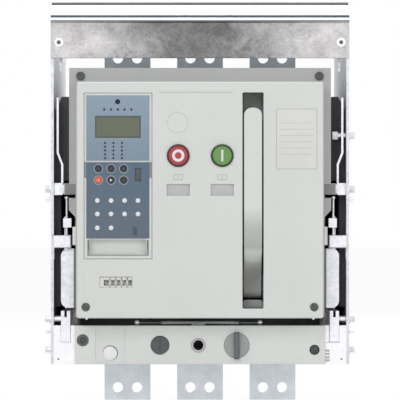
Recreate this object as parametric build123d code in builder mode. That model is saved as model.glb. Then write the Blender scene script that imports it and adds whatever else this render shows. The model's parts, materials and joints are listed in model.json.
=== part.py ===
from build123d import *
import os

# Air circuit breaker in its draw-out cradle, millimetres.
# +X is to the right seen from the front, the front faces -Y, +Z is up.
# The origin is the middle of the cradle's base fixing holes, on the underside.

os.makedirs("parts", exist_ok=True)

# Driving sizes
pole_pitch = 95.0
level_pitch = 140.0
cradle_depth = 310.0
base_height = 46.6
cover_height = 279.6
side_sheet = 3.5
base_sheet = 2.5
beam_sheet = 2.5

# Clearances
running_gap = 0.05
slide_gap = 0.3
hole_gap = 0.1
skirt_clear = 0.4

# Widths, each built on the one before: chambers, case, frame, cover, then the cradle around them
chamber_half = 36.0
case_wall = 17.5
rail_room = 27.0
case_half = pole_pitch + chamber_half + case_wall
frame_lower_half = case_half + hole_gap
frame_half = case_half + 8.0
cover_half = case_half - 2.5
side_inner = case_half + rail_room
side_outer = side_inner + side_sheet
cradle_width = 2 * side_outer

# Depths, from the cradle's front and rear
front_y = -cradle_depth / 2
rear_y = cradle_depth / 2
cover_reach = 50.0
frame_reach = 12.0
cover_front_y = front_y - cover_reach
frame_front_y = front_y - frame_reach
case_front_y = front_y + 27.0
case_rear_y = rear_y - 60.0

# Heights, from the base upwards
cover_bottom = base_height + 10.6
cover_top = cover_bottom + cover_height
frame_bottom = cover_bottom + slide_gap
frame_top = cover_top + 18.2
beam_bottom = frame_top + 12.0
cradle_height = beam_bottom + 69.0
case_bottom = base_height + 15.4
lower_level = case_bottom + 48.0
upper_level = lower_level + level_pitch
case_top = upper_level + 80.0

# The front was measured on a cover 292 wide and 279.6 tall whose lower edge lies at 57.2
wide = cover_half / 146.0
tall = cover_height / 279.6


def across(x):
    """Place across the cover, which keeps its share of the width."""
    return x * wide


def up(z):
    """Height on the cover, which keeps its share of the height."""
    return cover_bottom + (z - 57.2) * tall


# Poles and terminals
poles = (-pole_pitch, 0.0, pole_pitch)
pole_names = ("left", "middle", "right")
terminal_width = 60.0
finger_thick = 6.0
cage_wall = 2.5
cage_half = terminal_width / 2 + 4.0
terminal_thick = 12.0
terminal_hole_r = 6.75
terminal_hole_pitch = 25.0
terminal_hole_inset = 16.3
upper_terminal_top = upper_level + 149.0
lower_terminal_bottom = lower_level - 174.6
stub_front_y = rear_y - 49.0

# Breaker walls
cover_wall = 3.0
frame_step = up(218.0)
frame_plate = 5.0
support_sheet = 2.8

# Handle
handle_x = across(62.7)
handle_width = 21.2
handle_slot_width = 25.0
handle_slot_bottom = up(68.5)
handle_slot_top = up(324.2)
handle_top = up(306.2)
pivot_y = front_y + 5.0
pivot_z = up(89.5)
pivot_r = 4.0

# Rails at both sides of the base
guide_centre = side_inner - 14.4
guide_width = 11.0
guide_bottom = base_height - 19.6
guide_top = base_height + 17.4
rail_sheet = 2.4
rail_tab_bottom = base_height + 20.6
rail_tab_top = rail_tab_bottom + 71.5
rail_front_y = front_y + 12.0
rail_length = cradle_depth - 30.0

# Racking gear in the base
crank_x = -2.0
crank_z = base_height - 23.8
screw_r = 6.0
knob_x = 44.0
release_x = -47.9
release_z = base_height - 23.5

# Trip unit
trip_x0 = across(-137.1)
trip_x1 = across(-56.7)
trip_z0 = up(127.3)
trip_z1 = up(323.5)
trip_front_y = cover_front_y + 1.5
trip_rear_y = front_y + 20.0
face_thick = 2.0

# Buttons and windows in the cover
off_x = across(-25.7)
on_x = across(26.3)
button_z = up(249.5)
button_r = 13.2
window_z = up(209.0)
window_height = 13.8
window_width = 27.3
counter_x = across(-99.3)
counter_z = up(99.8)


def facing(y):
    """Plane at the depth y that looks to the front: its own x is X and its own y is Z."""
    return Plane.XZ.offset(-y)


def mirrored(piece):
    """The same piece on the other side of the middle plane."""
    with BuildPart() as other:
        mirror(piece.part, about=Plane.YZ)
    return other


def save(piece, name):
    """Labels a finished piece and writes it."""
    piece.part.label = name
    export_step(piece.part, f"parts/{name}.step")


# Side plates: a notch for the rail latch in the front edge, a lifting slot near the top
plate_front_top = cradle_height - 31.0
plate_rear_top = plate_front_top - 20.0
plate_flat_front = 110.0
plate_flat_rear = 60.0
lift_slot_y = 22.0
lift_slot_z = plate_rear_top - 14.0
lift_slot_length = 64.0
lift_slot_height = 24.0
latch_notch_z = rail_tab_top + 2.3
latch_notch_height = 30.0
latch_notch_depth = 12.0
catch_y = front_y + 14.0
catch_z = up(210.2)
side_bolt_r = 3.0
guide_bolt_z = guide_top - 10.0
guide_bolts_y = (front_y + 9.0, rear_y - 35.0)
base_bolt_z = 17.0
base_bolts_y = (front_y + 15.0, rear_y - 20.0)
earth_y = front_y + 17.0
earth_z = up(274.6)
beam_screw_x = side_inner - 6.3
beam_screw_z = beam_bottom + 19.0
beam_screw_r = 2.5
tab_reach = 15.0
tab_height = 34.0

with BuildPart() as side_plate_right:
    with BuildSketch(Plane.YZ.offset(side_inner)):
        with BuildLine():
            Polyline(
                (front_y, 0),
                (rear_y, 0),
                (rear_y, plate_rear_top),
                (rear_y - plate_flat_rear, plate_rear_top),
                (front_y + plate_flat_front, plate_front_top),
                (front_y, plate_front_top),
                close=True,
            )
        make_face()
        with Locations((lift_slot_y, lift_slot_z)):
            SlotOverall(lift_slot_length, lift_slot_height, mode=Mode.SUBTRACT)
        with Locations((front_y, latch_notch_z)):
            Rectangle(2 * latch_notch_depth, latch_notch_height, mode=Mode.SUBTRACT)
        with Locations((catch_y, catch_z)):
            Circle(side_bolt_r + hole_gap, mode=Mode.SUBTRACT)
        with Locations(*[(y, guide_bolt_z) for y in guide_bolts_y]):
            Circle(side_bolt_r + hole_gap, mode=Mode.SUBTRACT)
        with Locations(*[(y, base_bolt_z) for y in base_bolts_y]):
            Circle(side_bolt_r + hole_gap, mode=Mode.SUBTRACT)
    extrude(amount=side_sheet)
    # tab bent in behind the end of the top beam
    with BuildSketch(facing(front_y + side_sheet)):
        with Locations((side_inner - tab_reach / 2, beam_screw_z)):
            Rectangle(tab_reach, tab_height)
        with Locations((beam_screw_x, beam_screw_z)):
            Circle(beam_screw_r + hole_gap, mode=Mode.SUBTRACT)
    extrude(amount=side_sheet)

save(mirrored(side_plate_right), "side_plate_left")

# the right one has one more hole, for the earthing bolt
with BuildPart() as side_plate_earthed:
    add(side_plate_right.part)
    with BuildSketch(Plane.YZ.offset(side_inner)):
        with Locations((earth_y, earth_z)):
            Circle(side_bolt_r + hole_gap)
    extrude(amount=side_sheet, mode=Mode.SUBTRACT)
save(side_plate_earthed, "side_plate_right")

# Top beam: one folded strip with a rolled bead, a shoulder that slopes back and a lip
beam_front_y = front_y - beam_sheet
bead_low = cradle_height - 26.5
bead_high = cradle_height - 19.5
bead_reach = 2.5
shoulder_top = cradle_height - 4.5
shoulder_back = 25.0

with BuildPart() as top_beam:
    with BuildSketch(Plane.YZ.offset(-side_outer)):
        with BuildLine() as strip:
            bead_mid = (bead_low + bead_high) / 2
            Line((beam_front_y, beam_bottom), (beam_front_y, bead_low))
            ThreePointArc(
                (beam_front_y, bead_low),
                (beam_front_y - bead_reach, bead_mid),
                (beam_front_y, bead_high),
            )
            Line((beam_front_y, bead_high), (beam_front_y + shoulder_back, shoulder_top))
            Line((beam_front_y + shoulder_back, shoulder_top), (beam_front_y + shoulder_back, cradle_height))
            offset(strip.line, amount=beam_sheet, side=Side.RIGHT)
        make_face()
    extrude(amount=cradle_width)
    with BuildSketch(facing(front_y)):
        with Locations((beam_screw_x, beam_screw_z), (-beam_screw_x, beam_screw_z)):
            Circle(beam_screw_r + hole_gap)
    extrude(amount=beam_sheet, mode=Mode.SUBTRACT)
save(top_beam, "top_beam")

# Base pan: floor with upturned flanges, the front one holds the racking gear
fixing_x = 2 * side_inner - 26.0
fixing_y = cradle_depth - 110.0
fixing_r = 5.5
pan_rear_height = 24.0
window_length = 110.0
window_depth = cradle_depth / 2 - 65.0
window_pitch_x = 160.0
window_pitch_y = window_depth + 40.0
window_corner = 8.0
bearing_y = front_y + 159.0
bearing_width = 40.0
bearing_height = 36.0
journal_r = 4.0
release_r = 11.0

with BuildPart() as base_pan:
    with BuildSketch(Plane.XY):
        Rectangle(2 * side_inner, cradle_depth)
    extrude(amount=base_height)
    offset(amount=-base_sheet, openings=base_pan.faces().sort_by(Axis.Z)[-1])
    # floor windows either side of the racking screw, and the four fixing holes
    with BuildSketch(Plane.XY):
        with GridLocations(window_pitch_x, window_pitch_y, 2, 2):
            RectangleRounded(window_length, window_depth, window_corner)
        with GridLocations(fixing_x, fixing_y, 2, 2):
            Circle(fixing_r)
    extrude(amount=base_sheet, mode=Mode.SUBTRACT)
    # lower rear flange, and gaps that the guide rails pass through
    with BuildSketch(facing(rear_y)):
        with Locations((0, base_height)):
            Rectangle(2 * side_inner, 2 * (base_height - pan_rear_height))
    extrude(amount=base_sheet, mode=Mode.SUBTRACT)
    with BuildSketch(facing(front_y + base_sheet)):
        for side in (-1, 1):
            with Locations((side * guide_centre, guide_top)):
                Rectangle(guide_width + 2 * slide_gap, 2 * (guide_top - guide_bottom + slide_gap))
        with Locations((crank_x, crank_z)):
            Circle(screw_r + running_gap)
        with Locations((knob_x, crank_z)):
            Circle(journal_r + running_gap)
        with Locations((release_x, release_z)):
            Circle(release_r + 2 * slide_gap)
    extrude(amount=base_sheet, mode=Mode.SUBTRACT)
    with BuildSketch(Plane.YZ.offset(-side_inner)):
        with Locations(*[(y, base_bolt_z) for y in base_bolts_y]):
            Circle(side_bolt_r + hole_gap)
    extrude(amount=2 * side_inner, mode=Mode.SUBTRACT)
    # upright that holds the rear end of the racking screw
    with BuildSketch(facing(bearing_y + base_sheet)):
        with Locations((crank_x, base_sheet / 2 + bearing_height / 2)):
            Rectangle(bearing_width, bearing_height + base_sheet)
        with Locations((crank_x, crank_z)):
            Circle(journal_r + running_gap, mode=Mode.SUBTRACT)
    extrude(amount=base_sheet)
save(base_pan, "base_pan")

# Front panel over the base pan
panel_half = side_inner - 25.5
panel_thick = 5.0
panel_low = slide_gap
panel_front_y = front_y - panel_thick
panel_edge = 0.6
lock_x = 42.4 - panel_half
lock_z = crank_z - 9.3
lock_r = 9.1
lock_recess_z = crank_z + 0.6
lock_recess_width = 35.7
lock_recess_height = 41.3
lock_recess_depth = 2.0
left_screw = (9.5 - panel_half, crank_z + 6.1)
right_screw = (panel_half - 12.8, crank_z - 5.3)
panel_screw_r = 2.5
panel_head_depth = 3.0
panel_head_r = 4.4
counterbore_r = 7.3
bushing_r = 8.7
knob_r = 15.0

with BuildPart() as front_panel:
    with BuildSketch(facing(front_y)):
        with Locations((0, (base_height + panel_low) / 2)):
            Rectangle(2 * panel_half, base_height - panel_low)
        with Locations((lock_x, lock_z)):
            Circle(lock_r, mode=Mode.SUBTRACT)
        with Locations((release_x, release_z)):
            Circle(release_r + slide_gap, mode=Mode.SUBTRACT)
        with Locations((crank_x, crank_z)):
            Circle(bushing_r + running_gap, mode=Mode.SUBTRACT)
        with Locations((knob_x, crank_z)):
            Circle(knob_r + slide_gap, mode=Mode.SUBTRACT)
        with Locations(left_screw, right_screw):
            Circle(panel_screw_r + hole_gap, mode=Mode.SUBTRACT)
    extrude(amount=panel_thick)
    chamfer(front_panel.faces().sort_by(Axis.Y)[0].outer_wire().edges(), length=panel_edge)
    with BuildSketch(facing(panel_front_y)):
        with Locations((lock_x, lock_recess_z)):
            Rectangle(lock_recess_width, lock_recess_height)
    extrude(amount=-lock_recess_depth, mode=Mode.SUBTRACT)
    with BuildSketch(facing(panel_front_y)):
        with Locations(left_screw):
            Circle(counterbore_r)
        with Locations(right_screw):
            Circle(panel_head_r + 1.7)
    extrude(amount=-panel_head_depth, mode=Mode.SUBTRACT)
save(front_panel, "front_panel")

# Rear insulator: a wall with a shroud round each of the six stubs
wall_thick = 10.0
wall_front_y = rear_y - wall_thick
wall_bottom = base_height - 16.6
wall_top = upper_level + 72.0
wall_corner = 26.0
shroud_front_y = case_rear_y + 6.0
shroud_half_x = cage_half + 3.0
shroud_half_z = terminal_thick / 2 + finger_thick + cage_wall + 5.5
shroud_wall = 3.0
stub_spots = [(x, z) for x in poles for z in (upper_level, lower_level)]
wall_half = side_inner - slide_gap
wall_lower_half = side_inner - base_sheet - slide_gap
wall_side = [
    (wall_lower_half, wall_bottom),
    (wall_lower_half, base_height + slide_gap),
    (wall_half, base_height + slide_gap),
    (wall_half, wall_top - wall_corner / 3),
    (wall_half - wall_corner, wall_top),
]
wall_outline = wall_side + [(-x, z) for x, z in reversed(wall_side)]
rib_reach = 10.0
rib_thick = 3.0
rib_pitch = 30.0

with BuildPart() as rear_insulator:
    with BuildSketch(facing(rear_y)):
        with BuildLine():
            Polyline(*wall_outline, close=True)
        make_face()
    extrude(amount=wall_thick)
    with BuildSketch(facing(wall_front_y)):
        with Locations(*stub_spots):
            Rectangle(2 * (shroud_half_x + shroud_wall), 2 * (shroud_half_z + shroud_wall))
        with Locations(*stub_spots):
            Rectangle(2 * shroud_half_x, 2 * shroud_half_z, mode=Mode.SUBTRACT)
    extrude(amount=wall_front_y - shroud_front_y)
    with BuildSketch(facing(rear_y)):
        with Locations(*stub_spots):
            Rectangle(terminal_width + 2 * hole_gap, terminal_thick + 2 * hole_gap)
    extrude(amount=wall_thick, mode=Mode.SUBTRACT)
    # ribs across the wall between the rows of shrouds
    with BuildSketch(facing(wall_front_y)):
        with Locations((0, (upper_level + lower_level) / 2)):
            with GridLocations(1, rib_pitch, 1, 3):
                Rectangle(2 * wall_half, rib_thick)
    extrude(amount=rib_reach)
save(rear_insulator, "rear_insulator")

# Terminals: a stub through the wall and a pad with two holes, up or down
def terminal(x, level, end_z):
    """Angle of thick copper: the stub lies at the level, the pad runs to end_z."""
    way = 1 if end_z > level else -1
    pad_start = level - way * terminal_thick / 2
    hole_z = end_z - way * terminal_hole_inset
    with BuildPart() as bar:
        with BuildSketch(Plane.YZ.offset(x - terminal_width / 2)):
            with BuildLine():
                Polyline(
                    (stub_front_y, level - terminal_thick / 2),
                    (rear_y + terminal_thick, level - terminal_thick / 2),
                    (rear_y + terminal_thick, level + terminal_thick / 2),
                    (stub_front_y, level + terminal_thick / 2),
                    close=True,
                )
            make_face()
            with Locations((rear_y + terminal_thick / 2, (pad_start + end_z) / 2)):
                Rectangle(terminal_thick, abs(end_z - pad_start))
        extrude(amount=terminal_width)
        with BuildSketch(facing(rear_y + terminal_thick)):
            with Locations((x, hole_z)):
                with GridLocations(terminal_hole_pitch, 1, 2, 1):
                    Circle(terminal_hole_r)
        extrude(amount=terminal_thick, mode=Mode.SUBTRACT)
        nose = bar.faces().sort_by(Axis.Y)[0].edges().filter_by(Axis.X)
        chamfer(nose, length=3)
        corners = bar.faces().sort_by(Axis.Z)[-1 if way > 0 else 0].edges().filter_by(Axis.Y)
        chamfer(corners, length=1)
    return bar


for pole_x, pole_name in zip(poles, pole_names):
    save(terminal(pole_x, upper_level, upper_terminal_top), f"upper_terminal_{pole_name}")
    save(terminal(pole_x, lower_level, lower_terminal_bottom), f"lower_terminal_{pole_name}")

# Guide rails: channels with a slot along the top, closed at the front, on bushes
guide_front_y = front_y - 3.0
guide_rear_y = rear_y - wall_thick - 2.0
guide_wall = 2.4
guide_outer = guide_centre + guide_width / 2
guide_height = guide_top - guide_bottom
tongue_slot = rail_sheet + 2 * slide_gap
tongue_bottom = guide_top - 7.0
bush_r = 3.9

with BuildPart() as guide_rail_right:
    with BuildSketch(facing(guide_rear_y)):
        with Locations((guide_centre, (guide_top + guide_bottom) / 2)):
            Rectangle(guide_width, guide_height)
            Rectangle(guide_width - 2 * guide_wall, guide_height - 2 * guide_wall, mode=Mode.SUBTRACT)
        with Locations((guide_centre, guide_top)):
            Rectangle(tongue_slot, 3 * guide_wall, mode=Mode.SUBTRACT)
    extrude(amount=guide_rear_y - guide_front_y)
    with BuildSketch(facing(guide_front_y + guide_wall)):
        with Locations((guide_centre, (guide_top + guide_bottom) / 2)):
            Rectangle(guide_width, guide_height)
        with Locations((guide_centre, guide_top)):
            Rectangle(tongue_slot, 2 * (guide_top - tongue_bottom + slide_gap), mode=Mode.SUBTRACT)
    extrude(amount=guide_wall)
    with BuildSketch(Plane.YZ.offset(guide_outer)):
        with Locations(*[(y, guide_bolt_z) for y in guide_bolts_y]):
            Circle(bush_r)
            Circle(side_bolt_r + hole_gap, mode=Mode.SUBTRACT)
    extrude(amount=side_inner - guide_outer)
save(guide_rail_right, "guide_rail_right")
save(mirrored(guide_rail_right), "guide_rail_left")

# Side guides: black mouldings on the inner faces of the side plates
guard_front_y = front_y + 31.0
guard_rear_y = wall_front_y - rib_reach - slide_gap
guard_skin = 7.4
guard_inner = case_half + 4.7
guard_low = base_height + 21.4
guard_high = frame_top - 50.0
guard_block_low = guard_high - 85.0
guard_slope = 6.0
horn_high = guard_high + 17.0
horn_thick = 8.0
groove_pitch = 26.0
groove_width = 12.0
groove_length = 18.0
groove_floor = 8.0
groove_count = int((guard_rear_y - guard_front_y) / groove_pitch)

with BuildPart() as side_guide_right:
    with BuildSketch(facing(guard_rear_y)):
        with BuildLine():
            Polyline(
                (side_inner, guard_low),
                (side_inner, guard_high),
                (guard_inner, guard_high),
                (guard_inner, guard_block_low + guard_slope),
                (guard_inner + guard_slope, guard_block_low),
                (side_inner - guard_skin, guard_block_low),
                (side_inner - guard_skin, guard_low),
                close=True,
            )
        make_face()
    extrude(amount=guard_rear_y - guard_front_y)
    # upright grooves that lighten the thick part, open at the top
    with BuildSketch(Plane.XY.offset(guard_high)):
        with Locations(((guard_inner + side_inner) / 2, (guard_front_y + guard_rear_y) / 2)):
            with GridLocations(1, groove_pitch, 1, groove_count):
                Rectangle(groove_width, groove_length)
    extrude(amount=guard_block_low + groove_floor - guard_high, mode=Mode.SUBTRACT)
    # horn at the front end
    with BuildSketch(facing(guard_front_y + horn_thick)):
        with BuildLine():
            Polyline(
                (guard_inner, guard_high),
                (guard_inner, horn_high - guard_slope),
                (guard_inner + guard_slope, horn_high),
                (side_inner - 8, horn_high),
                (side_inner - 4, guard_high + 8),
                (side_inner, guard_high),
                close=True,
            )
        make_face()
    extrude(amount=horn_thick)
save(side_guide_right, "side_guide_right")
save(mirrored(side_guide_right), "side_guide_left")

# Side catches: a block on the side plate with a strip that runs up from it
ear_half = frame_half + 5.9
catch_inner = ear_half + slide_gap
catch_height = 14.4
catch_depth = 20.0
catch_thread = 8.0
strip_thick = 2.5
strip_depth = 9.0
strip_low = catch_z + catch_height / 2
strip_top = frame_top - 35.0
strip_x = catch_inner + 4.0
strip_bent_x = strip_x + 5.5

with BuildPart() as catch_right:
    with BuildSketch(facing(catch_y + catch_depth / 2)):
        with Locations(((catch_inner + side_inner) / 2, catch_z)):
            Rectangle(side_inner - catch_inner, catch_height)
    extrude(amount=catch_depth)
    chamfer(catch_right.edges().filter_by(Axis.Y).group_by(Axis.X)[0], length=3)
    with BuildSketch(facing(catch_y - catch_depth / 2 + strip_depth)):
        with BuildLine() as bent:
            Polyline(
                (strip_x, strip_low - 1),
                (strip_x, strip_low + 22),
                (strip_bent_x, strip_low + 36),
                (strip_bent_x, strip_top),
            )
            offset(bent.line, amount=strip_thick, side=Side.LEFT)
        make_face()
    extrude(amount=strip_depth)
    with BuildSketch(Plane.YZ.offset(side_inner)):
        with Locations((catch_y, catch_z)):
            Circle(side_bolt_r + hole_gap)
    extrude(amount=-catch_thread, mode=Mode.SUBTRACT)
save(catch_right, "catch_right")
save(mirrored(catch_right), "catch_left")

# Crank bushing in the front panel
bushing_bore_r = 6.6

with BuildPart() as crank_bushing:
    with BuildSketch(facing(front_y)):
        with Locations((crank_x, crank_z)):
            Circle(bushing_r)
            Circle(bushing_bore_r, mode=Mode.SUBTRACT)
    extrude(amount=panel_thick + 1)
save(crank_bushing, "crank_bushing")

# Bolts through the side plates: hexagon heads outside, shanks in the pieces inside
head_height = 5.5
washer_height = 1.6
earth_shank = 16.0
earth_nut_r = 5.4
earth_nut_height = 6.6


def side_bolt(y, z, head_r, shank):
    """One bolt of the right side, head outwards."""
    with BuildPart() as bolt:
        with BuildSketch(Plane.YZ.offset(side_outer)):
            with Locations((y, z)):
                Circle(head_r + 1.2)
        extrude(amount=washer_height)
        with BuildSketch(Plane.YZ.offset(side_outer + washer_height)):
            with Locations((y, z)):
                RegularPolygon(head_r, 6)
        extrude(amount=head_height)
        with BuildSketch(Plane.YZ.offset(side_outer)):
            with Locations((y, z)):
                Circle(side_bolt_r)
        extrude(amount=-shank)
    return bolt


right_bolts = [side_bolt(catch_y, catch_z, 5.0, side_sheet + 7.5)]
right_bolts += [side_bolt(y, guide_bolt_z, 4.6, side_outer - guide_outer) for y in guide_bolts_y]
right_bolts += [side_bolt(y, base_bolt_z, 4.2, side_sheet + base_sheet + 4) for y in base_bolts_y]
earth_bolt = side_bolt(earth_y, earth_z, 4.8, side_sheet + earth_shank)

with BuildPart() as cradle_bolts:
    for bolt in right_bolts:
        add(bolt.part)
        mirror(bolt.part, about=Plane.YZ)
    # earthing bolt of the right side, with its nut inside
    add(earth_bolt.part)
    with BuildSketch(Plane.YZ.offset(side_inner - earth_shank)):
        with Locations((earth_y, earth_z)):
            RegularPolygon(earth_nut_r, 6)
    extrude(amount=earth_nut_height)
save(cradle_bolts, "cradle_bolts")

# Screws of the front panel, with hexagon sockets, and of the top beam, with dished heads
panel_seat_y = panel_front_y + panel_head_depth
panel_head_height = 2.6
panel_socket_r = 2.3
panel_socket_depth = 1.8
beam_head_r = 5.2
beam_head_height = 1.2
beam_dish_r = 2.4
beam_dish_depth = 0.7
beam_screws = [(-beam_screw_x, beam_screw_z), (beam_screw_x, beam_screw_z)]

with BuildPart() as panel_screws:
    with BuildSketch(facing(panel_seat_y)):
        with Locations(left_screw, right_screw):
            Circle(panel_head_r)
    extrude(amount=panel_head_height)
    with BuildSketch(facing(panel_seat_y - panel_head_height)):
        with Locations(left_screw, right_screw):
            RegularPolygon(panel_socket_r, 6)
    extrude(amount=-panel_socket_depth, mode=Mode.SUBTRACT)
    with BuildSketch(facing(panel_seat_y)):
        with Locations(left_screw, right_screw):
            Circle(panel_screw_r)
    extrude(amount=panel_seat_y - front_y)
    with BuildSketch(facing(beam_front_y)):
        with Locations(*beam_screws):
            Circle(beam_head_r)
    extrude(amount=beam_head_height)
    with BuildSketch(facing(beam_front_y - beam_head_height)):
        with Locations(*beam_screws):
            Circle(beam_dish_r)
    extrude(amount=-beam_dish_depth, mode=Mode.SUBTRACT)
    with BuildSketch(facing(beam_front_y)):
        with Locations(*beam_screws):
            Circle(beam_screw_r)
    extrude(amount=-(beam_sheet + side_sheet))
save(panel_screws, "panel_screws")

# Racking screw: a square socket in its front end, a long screw and a rear journal
screw_front_y = front_y + 0.5
socket_side = 7.0
socket_depth = 14.0
journal_length = 6.0

with BuildPart() as racking_screw:
    with BuildSketch(facing(bearing_y)):
        with Locations((crank_x, crank_z)):
            Circle(screw_r)
    extrude(amount=bearing_y - screw_front_y)
    with BuildSketch(facing(screw_front_y)):
        with Locations((crank_x, crank_z)):
            Rectangle(socket_side, socket_side)
    extrude(amount=-socket_depth, mode=Mode.SUBTRACT)
    with BuildSketch(facing(bearing_y)):
        with Locations((crank_x, crank_z)):
            Circle(journal_r)
    extrude(amount=-journal_length)
save(racking_screw, "racking_screw")

# Racking carriage: the nut on the screw and the cross bar above it
racking_travel = 52.0
nut_front_y = front_y + base_sheet + 2 + racking_travel
nut_depth = 22.0
nut_half = 12.0
post_width = 16.0
post_thick = 4.0
cross_half = 47.5
cross_z = base_height - 0.6
cross_depth = 18.0
cross_sheet = 3.0
cross_hole_pitch = 80.0
cross_hole_r = 2.6
cross_y = nut_front_y + cross_depth / 2

with BuildPart() as racking_carriage:
    with BuildSketch(facing(nut_front_y + nut_depth)):
        with Locations((crank_x, crank_z)):
            Rectangle(2 * nut_half, 2 * nut_half)
            Circle(screw_r + running_gap, mode=Mode.SUBTRACT)
    extrude(amount=nut_depth)
    with BuildSketch(facing(nut_front_y + post_thick)):
        with Locations((crank_x, (crank_z + nut_half + cross_z) / 2)):
            Rectangle(post_width, cross_z - crank_z - nut_half)
    extrude(amount=post_thick)
    with BuildSketch(Plane.XY.offset(cross_z)):
        with Locations((0, cross_y)):
            SlotOverall(2 * cross_half, cross_depth)
        with Locations((-cross_hole_pitch / 2, cross_y), (cross_hole_pitch / 2, cross_y)):
            Circle(cross_hole_r, mode=Mode.SUBTRACT)
    extrude(amount=cross_sheet)
save(racking_carriage, "racking_carriage")

# Position indicator: a disc in the front panel with a pointer bar across it
pointer_length = 31.9
pointer_width = 6.2
pointer_height = 6.0
knob_rear_y = front_y - 0.5
knob_stem = 14.0

with BuildPart() as position_indicator:
    with BuildSketch(facing(knob_rear_y)):
        with Locations((knob_x, crank_z)):
            Circle(knob_r)
    extrude(amount=panel_thick + slide_gap)
    with BuildSketch(facing(panel_front_y - 0.8)):
        with Locations((knob_x, crank_z)):
            SlotOverall(pointer_length, pointer_width, rotation=90)
    extrude(amount=pointer_height)
    bar_front = position_indicator.faces().sort_by(Axis.Y)[0]
    chamfer(bar_front.edges(), length=1.0)
    with BuildSketch(facing(knob_rear_y)):
        with Locations((knob_x, crank_z)):
            Circle(journal_r)
    extrude(amount=-knob_stem)
save(position_indicator, "position_indicator")

# Release button beside the crank bushing
release_length = 12.0
release_proud = 1.0
release_slot_width = 2.4
release_slot_length = 13.0
release_slot_depth = 1.2

with BuildPart() as release_button:
    with BuildSketch(facing(panel_front_y - release_proud + release_length)):
        with Locations((release_x, release_z)):
            Circle(release_r)
    extrude(amount=release_length)
    chamfer(release_button.faces().sort_by(Axis.Y)[0].edges(), length=0.8)
    with BuildSketch(facing(panel_front_y - release_proud)):
        with Locations((release_x, release_z)):
            Rectangle(release_slot_width, release_slot_length)
    extrude(amount=-release_slot_depth, mode=Mode.SUBTRACT)
save(release_button, "release_button")

# Extension rails: a web that runs in the guide's slot, a shelf for the breaker and a front tab
shelf_inner = case_half + support_sheet + skirt_clear
shelf_z = rail_tab_bottom + 2.8
shelf_sheet = 2.4
tab_outer = side_inner - 8.1
tab_corner = 9.0
tab_inner = shelf_inner
web_window_z = (rail_tab_bottom + rail_tab_top) / 2 + 3
web_window_pitch = rail_length / 3.5
web_window_length = web_window_pitch - 20.0
web_window_height = 22.0
rear_corner_z = 30.0
rear_corner_y = 40.0
lug_low = rail_tab_top + 25.3
lug_high = lug_low + 11.0
lug_inner = side_inner - 21.1
lug_outer = lug_inner + 9.8
lug_reach = 5.0
upright_width = 4.0
rod_x = side_inner - 15.4
rod_y = front_y + 6.0
rod_r = 1.5
rail_rear_y = rail_front_y + rail_length

with BuildPart() as extension_rail_right:
    with BuildSketch(Plane.YZ.offset(guide_centre - rail_sheet / 2)):
        with BuildLine():
            Polyline(
                (rail_front_y, rail_tab_bottom),
                (rail_front_y + 6, tongue_bottom),
                (rail_rear_y, tongue_bottom),
                (rail_rear_y, rail_tab_top - rear_corner_z),
                (rail_rear_y - rear_corner_y, rail_tab_top),
                (rail_front_y, rail_tab_top),
                close=True,
            )
        make_face()
        with Locations((0, web_window_z)):
            with GridLocations(web_window_pitch, 1, 3, 1):
                SlotOverall(web_window_length, web_window_height, mode=Mode.SUBTRACT)
    extrude(amount=rail_sheet)
    with BuildSketch(facing(rail_rear_y)):
        with Locations(((shelf_inner + guide_centre) / 2, shelf_z + shelf_sheet / 2)):
            Rectangle(guide_centre - shelf_inner, shelf_sheet)
    extrude(amount=rail_length)
    with BuildSketch(facing(rail_front_y + rail_sheet)):
        with Locations(((tab_inner + tab_outer) / 2, (rail_tab_bottom + rail_tab_top) / 2)):
            Rectangle(tab_outer - tab_inner, rail_tab_top - rail_tab_bottom)
        fillet(vertices().group_by(Axis.X)[-1], radius=tab_corner)
    extrude(amount=rail_sheet)
    # narrow upright behind the latch, with the lug that guides its rod
    with BuildSketch(facing(rail_front_y + rail_sheet)):
        with Locations((guide_centre, (rail_tab_top + lug_high) / 2)):
            Rectangle(upright_width, lug_high - rail_tab_top + upright_width)
    extrude(amount=rail_sheet)
    with BuildSketch(Plane.XY.offset(lug_low)):
        with Locations(((lug_inner + lug_outer) / 2, (rod_y - lug_reach + rail_front_y) / 2)):
            Rectangle(lug_outer - lug_inner, rail_front_y - rod_y + lug_reach)
        with Locations((rod_x, rod_y)):
            Circle(rod_r + slide_gap, mode=Mode.SUBTRACT)
    extrude(amount=lug_high - lug_low)
save(extension_rail_right, "extension_rail_right")
save(mirrored(extension_rail_right), "extension_rail_left")

# Rail latches: a thumb block that reaches into the notch of the side plate, on a rod
latch_low = rail_tab_top + 0.7
latch_high = latch_low + 15.4
latch_inner = lug_inner
latch_outer = side_inner + 0.9
latch_depth = 11.5
rod_top = lug_high + 26.3
rod_head = 3.0

with BuildPart() as rail_latch_right:
    with BuildSketch(facing(rail_front_y - slide_gap)):
        with Locations(((latch_inner + latch_outer) / 2, (latch_low + latch_high) / 2)):
            Rectangle(latch_outer - latch_inner, latch_high - latch_low)
    extrude(amount=latch_depth)
    chamfer(rail_latch_right.faces().sort_by(Axis.Y)[0].edges(), length=1.2)
    with BuildSketch(Plane.XY.offset(latch_high)):
        with Locations((rod_x, rod_y)):
            Circle(rod_r)
    extrude(amount=rod_top - latch_high)
    with BuildSketch(Plane.XY.offset(rod_top - rod_head)):
        with Locations((rod_x, rod_y)):
            Circle(rod_r + 1.2)
    extrude(amount=rod_head)
save(rail_latch_right, "rail_latch_right")
save(mirrored(rail_latch_right), "rail_latch_left")

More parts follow.
